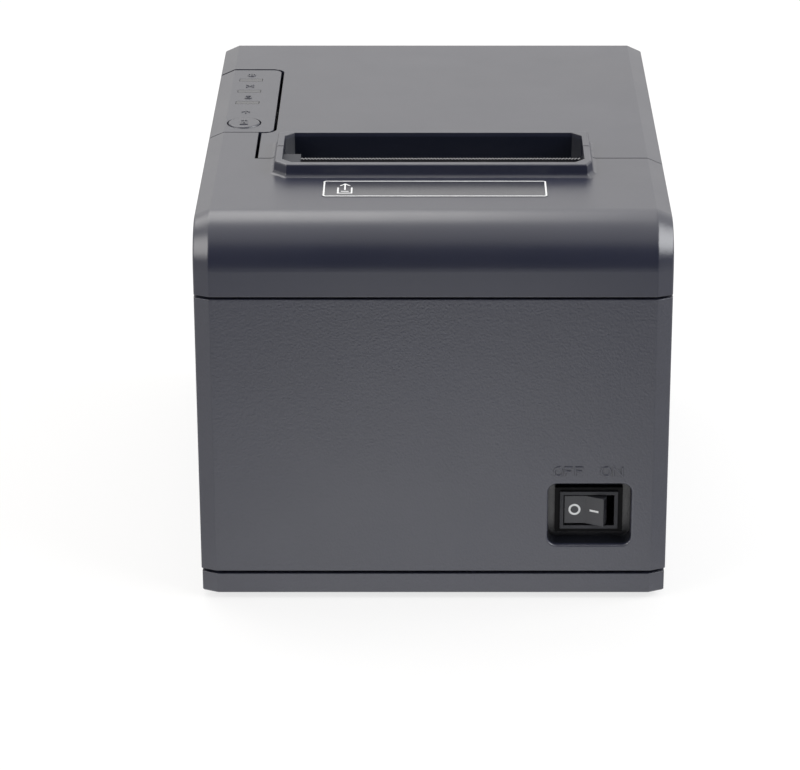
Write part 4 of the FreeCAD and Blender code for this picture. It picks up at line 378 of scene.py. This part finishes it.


# Main housing: the four walls in one deep moulding with a pebbled face; it has a recess for the switch at
# the front, with painted shade inside, and the words of the switch raised above it.
HOUSING_PLASTIC = moulded("housing_plastic", CHARCOAL, **WALL_FINISH)
front_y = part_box("main_housing")[0].y
POCKET_LOW = (35 * MM, front_y + 1.5 * MM, 18 * MM)
POCKET_HIGH = (62 * MM, front_y + 12 * MM, 40 * MM)
# Painted shade: the dark colour inside the switch recess stands for the shade that falls there.
POCKET_PAINTED_SHADE = (0.003, 0.004, 0.009)
POCKET_ROUGH = 0.3
WORDS = (("OFF", 37.4 * MM, 46.5 * MM), ("ON", 51.9 * MM, 58.6 * MM))
LETTER_HEIGHT = 2.75 * MM
LETTER_LOW = 42.45 * MM
LETTER_STROKE = 0.62 * MM
LETTER_RISE = 0.3 * MM
LETTER_FILL = 0.72
LETTER_SLACK = 0.22
ROUND_LETTER = 2.6
ARM_LENGTH = 0.8
ARM_HEIGHT = 0.52


def coordinates(tree, kind):
    """The three numbers of one kind of texture coordinate."""
    split = tree.nodes.new("ShaderNodeSeparateXYZ")
    tree.links.new(tree.nodes.new("ShaderNodeTexCoord").outputs[kind], split.inputs[0])
    return split.outputs


def paint_shade_inside(material, low, high, colour, rough):
    """Paints shade on the surface inside a box: its colour turns dark there, and it is no glossier than
    given.
    The mask is the product of three steps on the Object coordinates: on each axis, less than half the box
    from its middle."""
    tree = material.node_tree
    shader = tree.nodes["Principled BSDF"]
    inside = 1
    for along, start, stop in zip(coordinates(tree, "Object"), low, high):
        away = math_node(tree, "ABSOLUTE", math_node(tree, "SUBTRACT", along, (start + stop) / 2))
        inside = math_node(tree, "MULTIPLY", math_node(tree, "LESS_THAN", away, (stop - start) / 2), inside)
    outer = shader.inputs["Base Color"].links[0].from_socket
    gloss = shader.inputs["Roughness"].links[0].from_socket
    tree.links.new(tint(tree, inside, outer, colour), shader.inputs["Base Color"])
    tree.links.new(math_node(tree, "MAXIMUM", gloss, math_node(tree, "MULTIPLY", inside, rough)),
                   shader.inputs["Roughness"])


# Painted shade inside the switch recess.
paint_shade_inside(HOUSING_PLASTIC, POCKET_LOW, POCKET_HIGH, POCKET_PAINTED_SHADE, POCKET_ROUGH)
dress(HOUSING_PLASTIC, "main_housing")


def ring(centre, radius_u, radius_v, count=40, start=0, stop=2 * math.pi, square=2.0):
    """Points round an ellipse, or a squarer form of it where the power of the curve is above two."""
    closed = stop - start > 2 * math.pi - 1e-6
    turn = np.linspace(start, stop, count, endpoint=not closed)
    u = np.sign(np.cos(turn)) * np.abs(np.cos(turn)) ** (2 / square)
    v = np.sign(np.sin(turn)) * np.abs(np.sin(turn)) ** (2 / square)
    return np.stack([centre[0] + radius_u * u, centre[1] + radius_v * v], 1)


def letter(kind, u, width, height):
    """Strokes of one plain capital, each a path and whether it closes."""
    if kind == "O":
        return [(ring((u + width / 2, height / 2), width / 2, height / 2, square=ROUND_LETTER), True)]
    if kind == "F":
        return [([(u + width, height), (u, height), (u, 0)], False),
                ([(u, height * ARM_HEIGHT), (u + width * ARM_LENGTH, height * ARM_HEIGHT)], False)]
    return [([(u, 0), (u, height), (u + width, 0), (u + width, height)], False)]


word_runs = []
for letters, start, stop in WORDS:
    step = (stop - start) / (len(letters) - LETTER_SLACK)
    for number, kind in enumerate(letters):
        for path, closed in letter(kind, start + number * step, step * LETTER_FILL, LETTER_HEIGHT):
            rings = stroke(path, LETTER_STROKE, LETTER_RISE, closed)
            word_runs.append((on_surface(rings, (0, front_y, LETTER_LOW), (1, 0, 0), (0, 0, 1)), closed))
fitted(solid_of("switch_words", word_runs), WALL_PLASTIC, "case")


# Power switch: a snap-in black frame with a polished lip, lighter by a painted highlight, and a dark grey
# rocker that tips about an upright pin; a ring and a bar are printed in white on its two halves.
LIP_RISE = 0.6 * MM
FACE_BLACK = (0.002, 0.002, 0.003)
# Painted highlight: the lip's grey stands for light caught on its edges; the frame is black all over.
LIP_PAINTED_HIGHLIGHT = (0.04, 0.041, 0.047)
FACE_ROUGH = 0.6
LIP_ROUGH = 0.3
FRAME_GLOSS = 0.2


def lipped(name):
    """A black moulding with a matt face; its proud lip is polished, and lighter by a painted highlight."""
    material, tree, shader = blank(name)
    forward = coordinates(tree, "Object")["Y"]
    proud = math_node(tree, "LESS_THAN", forward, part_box("switch_body")[0].y + LIP_RISE / 2)
    tree.links.new(tint(tree, proud, FACE_BLACK, LIP_PAINTED_HIGHLIGHT), shader.inputs["Base Color"])
    tree.links.new(spread(tree, proud, FACE_ROUGH, LIP_ROUGH), shader.inputs["Roughness"])
    shader.inputs["Specular IOR Level"].default_value = FRAME_GLOSS
    return material


SWITCH_BLACK = lipped("switch_black")
ROCKER_GREY = moulded("rocker_grey", (0.034, 0.035, 0.041), 0.34, 1500, 0.015 * MM, edge=0.3 * MM, ior=1.55)
INK_WHITE = moulded("ink_white", (0.72, 0.73, 0.74), 0.5, 3000, 0.01 * MM, edge=0, contrast=0.05)
dress(SWITCH_BLACK, "switch_body")
dress(ROCKER_GREY, "power_rocker")
ROCKER_TILT = math.radians(13)
ROCKER_VALLEY = 5.6 * MM
ROCKER_RIDGE = (6.2 * MM, 7.0 * MM)
MARK_LINE = 0.66 * MM
MARK_RISE = 0.03 * MM
RING_RADIUS = 1.55 * MM
BAR_HALF = 1.5 * MM
pivot = [joint for joint in frame["joints"] if joint["name"] == "power_rocker_tilt"][0]["pos_m"]
face_lean = math.atan2(ROCKER_RIDGE[1] - ROCKER_VALLEY, ROCKER_RIDGE[0])
mark_runs = []
for side, path, closed in ((-1, ring((0, 0), RING_RADIUS, RING_RADIUS), True),
                           (1, [(-BAR_HALF, 0), (BAR_HALF, 0)], False)):
    across, out = side * ROCKER_RIDGE[0] / 2, (ROCKER_VALLEY + ROCKER_RIDGE[1]) / 2
    lean = ROCKER_TILT + side * face_lean
    x = across * math.cos(ROCKER_TILT) - out * math.sin(ROCKER_TILT)
    y = across * math.sin(ROCKER_TILT) + out * math.cos(ROCKER_TILT)
    direction = (math.cos(lean), -math.sin(lean), 0)
    middle = (pivot[0] + x, pivot[1] - y, pivot[2])
    rings = stroke(path, MARK_LINE, MARK_RISE, closed)
    mark_runs.append((on_surface(rings, middle, direction, (0, 0, 1)), closed))
fitted(solid_of("rocker_marks", mark_runs), INK_WHITE, "rocker")


# Paper bay and print mechanism: black inner mouldings screwed together that hold the roll, the head and the
# cutter; the gears are white acetal, the motors steel cans, the blades and springs bare steel.
INNER_BLACK = moulded("inner_black", (0.014, 0.0142, 0.015), 0.55, 1100, 0.1 * MM)
ACETAL = moulded("white_acetal", (0.68, 0.67, 0.62), 0.38, 1800, 0.03 * MM, contrast=0.06)
dress(INNER_BLACK, "paper_bay", "mechanism_frame", "platen_carrier", "latch_hook")
dress(ACETAL, "platen_gear", "idler_gear", "feed_pinion", "platen_bushings", "cutter_gear", "cutter_pinion")
dress(metal("motor_can", (0.44, 0.44, 0.46), 0.4), "feed_motor", "cutter_motor")
dress(metal("ground_steel", (0.44, 0.44, 0.46), 0.28, lines=4200), "moving_blade", "fixed_blade")
dress(metal("spring_wire", (0.48, 0.48, 0.5), 0.3), "head_springs", "latch_spring")
dress(moulded("glazed_ceramic", (0.7, 0.69, 0.65), 0.14, 500, 0.005 * MM, contrast=0.05), "head_plate")


# Platen: a ground steel shaft with a soft black rubber sleeve bonded to it, which turns in the lid and
# carries the paper past the print head.
dress(metal("ground_shaft", (0.55, 0.55, 0.57), 0.22, lines=5000), "platen_shaft")
dress(moulded("platen_rubber", (0.01, 0.01, 0.0105), 0.62, 2400, 0.03 * MM, ior=1.45), "platen_rubber")


# Lid and front cover: smoother satin mouldings that share the raised rim of the paper well, which has
# painted shade inside and is matt on the front cover's half; the release button in the right wall has the
# lid's finish.
COVER_FINISH = dict(rough=0.31, cells=2600, depth=0.02 * MM, ior=1.86)
COVER_PLASTIC = moulded("cover_plastic", CHARCOAL, **COVER_FINISH)
FRONT_PLASTIC = moulded("front_plastic", CHARCOAL, **COVER_FINISH)
WELL_LOW = (-47.5 * MM, -46.7 * MM, 90 * MM)
WELL_HIGH = (47.5 * MM, -17.5 * MM, 127.3 * MM)
# Painted shade: the dark colour inside the paper well stands for the shade that falls there.
WELL_PAINTED_SHADE = (0.003, 0.005, 0.014)
WELL_SATIN = 0.25
WELL_MATT = 0.85
# Painted shade inside the paper well, on the lid and on the front cover.
paint_shade_inside(COVER_PLASTIC, WELL_LOW, WELL_HIGH, WELL_PAINTED_SHADE, WELL_SATIN)
paint_shade_inside(FRONT_PLASTIC, WELL_LOW, WELL_HIGH, WELL_PAINTED_SHADE, WELL_MATT)
dress(COVER_PLASTIC, "lid_cover", "release_button")
dress(FRONT_PLASTIC, "front_cover")


# Tear bar: a saw-toothed strip of stamped steel, let into a groove of the front cover along the paper exit.
# Paper that isn't cut is torn against it.
dress(metal("tear_steel", (0.3, 0.3, 0.32), 0.32), "tear_bar")


# Sticker: a thin dark film with a soft gloss, stuck on the front cover; a white line runs round it, and it
# holds a plain mark of a paper slip with an arrow.
LABEL_X = (-34.2 * MM, 35.2 * MM)
LABEL_Y = (-67.1 * MM, -52.4 * MM)
LABEL_THICK = 0.12 * MM
LABEL_CORNER = 1.2 * MM
top_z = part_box("control_panel")[1].z


def round_rect(u, v, corner, steps=7):
    """Points round a rectangle with quarter-circle corners."""
    turns = np.linspace(0, math.pi / 2, steps)
    quarter = np.stack([np.cos(turns), np.sin(turns)], 1) * corner
    centres = [(u[1] - corner, v[1] - corner), (u[0] + corner, v[1] - corner),
               (u[0] + corner, v[0] + corner), (u[1] - corner, v[0] + corner)]
    spin = np.array([[0, 1], [-1, 0]])
    rows = []
    for centre in centres:
        rows.append(quarter + centre)
        quarter = quarter @ spin
    return np.concatenate(rows)


def film(name, outline, low, high):
    """A flat plate: the outline at a low and a high level, each closed by one face, with a wall between."""
    count = len(outline)
    points = np.concatenate([np.column_stack([outline, np.full(count, level)]) for level in (low, high)])
    i = np.arange(count)
    walls = np.stack([i, (i + 1) % count, (i + 1) % count + count, i + count], 1).tolist()
    return new_piece(name, points, walls + [i[::-1].tolist(), (i + count).tolist()])


def marked(name, paths, line, rise, level, material, body):
    """Raised or printed lines on a level face: each path stands as a stroke, all of them in one piece."""
    runs = [(on_surface(stroke(path, line, rise, closed), (0, 0, level), (1, 0, 0), (0, 1, 0)), closed)
            for path, closed in paths]
    return fitted(solid_of(name, runs), material, body)


def signed(x, y, size, *paths):
    """Open strokes of a sign: each path, drawn for a half height of one, is scaled and set at a place."""
    return [(np.array(path) * size + (x, y), False) for path in paths]


def slip_mark(x, y, size):
    """A paper slip with a line on it and an arrow that rises out of it."""
    slip = [(-0.5, 0.2), (-0.5, -1), (0.5, -1), (0.5, 0.2)]
    line = [(-0.28, -0.62), (0.28, -0.62)]
    shaft = [(0, -0.3), (0, 1)]
    head = [(-0.36, 0.62), (0, 1), (0.36, 0.62)]
    return signed(x, y, size, slip, line, shaft, head)


LABEL_FILM = moulded("label_film", (0.034, 0.0355, 0.048), 0.24, 500, 0.002 * MM, edge=0, ior=1.8)
LABEL_EDGE = 0.55 * MM
LABEL_LINE = 0.5 * MM
LABEL_RISE = 0.02 * MM
SLIP_INSET = 7 * MM
SLIP_SIZE = 4.2 * MM
label_top = top_z + LABEL_THICK
label_middle = (LABEL_Y[0] + LABEL_Y[1]) / 2
fitted(film("label_film", round_rect(LABEL_X, LABEL_Y, LABEL_CORNER), top_z - LABEL_RISE, label_top),
       LABEL_FILM, "front")
border = round_rect((LABEL_X[0] + LABEL_EDGE, LABEL_X[1] - LABEL_EDGE),
                    (LABEL_Y[0] + LABEL_EDGE, LABEL_Y[1] - LABEL_EDGE), LABEL_CORNER - LABEL_EDGE)
marked("label_border", [(border, True)], LABEL_LINE, LABEL_RISE, label_top,
       INK_WHITE, "front")
marked("label_mark", slip_mark(LABEL_X[0] + SLIP_INSET, label_middle, SLIP_SIZE), LABEL_LINE, LABEL_RISE,
       label_top, INK_WHITE, "front")


# Control panel: a fixed satin cap on the housing, with the feed button and with three smoked windows over
# the lamps of the panel board; small raised signs stand beside the windows and the button, and on it.
SMOKED_LENS = moulded("smoked_lens", (0.018, 0.0195, 0.03), 0.28, 600, 0.004 * MM, edge=0, ior=1.75)
dress(COVER_PLASTIC, "control_panel", "feed_button")
dress(SMOKED_LENS, "indicator_windows")
dress(moulded("clear_lamp", (0.42, 0.43, 0.4), 0.2, 800, 0.01 * MM), "indicator_leds")
SIGN_X = -61.6 * MM
SIGN_SIZE = 1.25 * MM
SIGN_LINE = 0.42 * MM
SIGN_RISE = 0.22 * MM
POWER_Y = 55.6 * MM
FAULT_Y = 43.6 * MM
PAPER_Y = 31.4 * MM
ARROW_Y = 15.6 * MM
BUTTON_Y = 4.4 * MM
BUTTON_SLIP = 2.2 * MM
POWER_GAP = (math.radians(-235), math.radians(55))
button_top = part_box("feed_button")[1].z
power_ring = ring((0, 0), 1, 1, start=POWER_GAP[0], stop=POWER_GAP[1])
sheet = round_rect((-0.8, 0.8), (-1, 1), 0.2) * SIGN_SIZE + (SIGN_X, PAPER_Y)
signs = signed(SIGN_X, POWER_Y, SIGN_SIZE, power_ring, [(0, 0.1), (0, 1.2)])
signs += signed(SIGN_X, FAULT_Y, SIGN_SIZE, [(-1, 1), (1, -1)], [(-1, -1), (1, 1)])
signs += [(sheet, True)] + signed(SIGN_X, PAPER_Y, SIGN_SIZE, [(-0.4, 0), (0.4, 0)])
signs += signed(SIGN_X, ARROW_Y, SIGN_SIZE, [(0, -1), (0, 1)], [(-1, 0), (0, 1), (1, 0)])
marked("panel_marks", signs, SIGN_LINE, SIGN_RISE, top_z, COVER_PLASTIC, "case")
marked("button_mark", slip_mark(SIGN_X, BUTTON_Y, BUTTON_SLIP), SIGN_LINE, SIGN_RISE, button_top,
       COVER_PLASTIC, "button")


# Studio: a wide pale paper floor with painted shade, greyer ahead of the part and beside it, most of all in
# reflections; a world that is bright behind the part and dim in front of it; soft lamps; and a dark card
# ahead of the part, which only shows in reflections.
FLOOR_SIZE = 16
MATT = 0.9
# Painted shade on the floor: greyer paper and a dimmer glow ahead of the part and beside it.
PAPER_PAINTED_SHADE = (0.66, 0.66, 0.67)
PAPER_BEHIND = (0.9, 0.9, 0.9)
AHEAD_Y = (-0.48, -0.08)
AHEAD_SHADE_GLOW = 0.72
BESIDE_X = (0.03, 0.12)
BESIDE_SHADE_GLOW = 0.45
GLOW_SHARE = 0.75
WARM = (1, 0.985, 0.955)
SWEEP = ((0.0, 1.08), (0.13, 1.1), (0.22, 1.15), (0.42, 1.1), (0.5, 0.9), (0.58, 0.75), (0.68, 0.6),
         (0.76, 0.28), (0.84, 0.06), (1.0, 0.05))
BRIGHTEST = max(level for _, level in SWEEP)
SIDE_X = (0.35, 0.95)
SIDE_LEVEL = 0.5


bpy.ops.mesh.primitive_plane_add(size=FLOOR_SIZE)
floor = bpy.context.object
floor.name = "studio_floor"
floor_paper, tree, shader = blank("floor_paper")
shader.inputs["Roughness"].default_value = MATT
place = coordinates(tree, "Object")
# The floor's painted shade: greyer ahead of the part, dimmer in reflections ahead of it and beside it.
behind = spread(tree, place["Y"], 0, 1, AHEAD_Y, "SMOOTHSTEP")
beside = spread(tree, math_node(tree, "ABSOLUTE", place["X"]), 1, BESIDE_SHADE_GLOW, BESIDE_X, "SMOOTHSTEP")
tree.links.new(tint(tree, behind, PAPER_PAINTED_SHADE, PAPER_BEHIND), shader.inputs["Base Color"])
ray = tree.nodes.new("ShaderNodeLightPath").outputs
level = math_node(tree, "MULTIPLY", spread(tree, behind, AHEAD_SHADE_GLOW, 1), beside)
glow = tree.nodes.new("ShaderNodeEmission")
tree.links.new(math_node(tree, "MAXIMUM", level, ray["Is Camera Ray"]), glow.inputs["Strength"])
mirrored = math_node(tree, "MAXIMUM", ray["Is Glossy Ray"], ray["Is Transmission Ray"])
seen = math_node(tree, "MAXIMUM", ray["Is Camera Ray"], mirrored)
mix = tree.nodes.new("ShaderNodeMixShader")
tree.links.new(math_node(tree, "MULTIPLY", seen, GLOW_SHARE), mix.inputs["Fac"])
tree.links.new(shader.outputs[0], mix.inputs[1])
tree.links.new(glow.outputs[0], mix.inputs[2])
tree.links.new(mix.outputs[0], tree.nodes["Material Output"].inputs["Surface"])
floor.data.materials.append(floor_paper)

world = bpy.data.worlds.new("studio")
bpy.context.scene.world = world
world.use_nodes = True
tree = world.node_tree
direction = coordinates(tree, "Generated")
height = math_node(tree, "ARCTAN2", direction["Z"], direction["Y"])
ramp = tree.nodes.new("ShaderNodeValToRGB")
tree.links.new(math_node(tree, "DIVIDE", height, math.pi), ramp.inputs[0])
stops = ramp.color_ramp.elements
for number, (stop_place, level) in enumerate(SWEEP):
    stop = stops[number] if number < 2 else stops.new(stop_place)
    stop.position = stop_place
    stop.color = (*shaded(WARM, level / BRIGHTEST), 1)
sideways = math_node(tree, "ABSOLUTE", direction["X"])
strength = spread(tree, sideways, BRIGHTEST, BRIGHTEST * SIDE_LEVEL, SIDE_X)
sky = tree.nodes["Background"]
tree.links.new(ramp.outputs["Color"], sky.inputs["Color"])
tree.links.new(strength, sky.inputs["Strength"])
backdrop = tree.nodes.new("ShaderNodeBackground")
backdrop.inputs["Color"].default_value = (1, 1, 1, 1)
seen = tree.nodes.new("ShaderNodeMixShader")
tree.links.new(tree.nodes.new("ShaderNodeLightPath").outputs["Is Camera Ray"], seen.inputs["Fac"])
tree.links.new(sky.outputs[0], seen.inputs[1])
tree.links.new(backdrop.outputs[0], seen.inputs[2])
tree.links.new(seen.outputs[0], tree.nodes["World Output"].inputs["Surface"])


def facing(thing, place, target):
    """Sets an object at a place with its -Z side towards a target."""
    thing.location = place
    thing.rotation_euler = (Vector(target) - Vector(place)).to_track_quat("-Z", "Y").to_euler()
    bpy.context.scene.collection.objects.link(thing)


def lamp(name, size, level, colour, place, target, mirrored=True):
    """A soft rectangular lamp, its level the brightness of its face; it can be kept out of reflections."""
    data = bpy.data.lights.new(name, "AREA")
    data.shape = "RECTANGLE"
    data.size, data.size_y = size
    data.energy = level * math.pi * size[0] * size[1]
    data.color = colour
    thing = bpy.data.objects.new(name, data)
    thing.visible_glossy = mirrored
    facing(thing, place, target)


LEFT_AIM = (-0.06, -0.08, 0.11)
RIGHT_AIM = (0.06, -0.08, 0.11)
lamp("softbox", (0.95, 0.69), 2.2, WARM, (-0.42, 0.46, 0.96), (-0.42, -0.08, 0.12))
lamp("left_box", (0.7, 0.6), 3.4, (1, 0.98, 0.96), (-0.8, -0.5, 0.54), LEFT_AIM)
lamp("right_box", (1.1, 0.6), 5.0, (0.98, 0.99, 1), (0.85, -0.24, 0.66), RIGHT_AIM)
lamp("front_fill", (1.2, 0.5), 1.05, (0.9, 0.96, 1), (0, -1.35, 0.28), (0, 0, 0.08), mirrored=False)

CARD_X = (-0.34, 0.5)
CARD_Y = (-0.472, -0.47)
CARD_Z = (0.001, 0.45)
CARD_BLACK = (0.01, 0.01, 0.01, 1)
corners = [(CARD_X[0], CARD_Y[0]), (CARD_X[1], CARD_Y[0]), (CARD_X[1], CARD_Y[1]), (CARD_X[0], CARD_Y[1])]
card = film("studio_card", np.array(corners), *CARD_Z)
card_black, _, shader = blank("card_black")
shader.inputs["Base Color"].default_value = CARD_BLACK
shader.inputs["Roughness"].default_value = MATT
card.data.materials.append(card_black)
card.visible_camera = False
card.visible_shadow = False


# Camera: a metre in front of the part, looking down a little through a long lens; the frame is shifted a
# little sideways, so that the part stands right of the middle.
CAMERA_PLACE = (0, -1.0295, 0.468)
CAMERA_PITCH = math.radians(22.87)
CAMERA_LENS = 150.1
CAMERA_SHIFT = -0.0416
camera_data = bpy.data.cameras.new("camera")
camera_data.lens = CAMERA_LENS
camera_data.shift_x = CAMERA_SHIFT
camera = bpy.data.objects.new("camera", camera_data)
camera.location = CAMERA_PLACE
camera.rotation_euler = (math.pi / 2 - CAMERA_PITCH, 0, 0)
bpy.context.scene.collection.objects.link(camera)
bpy.context.scene.camera = camera
bpy.context.scene.view_settings.view_transform = "Standard"
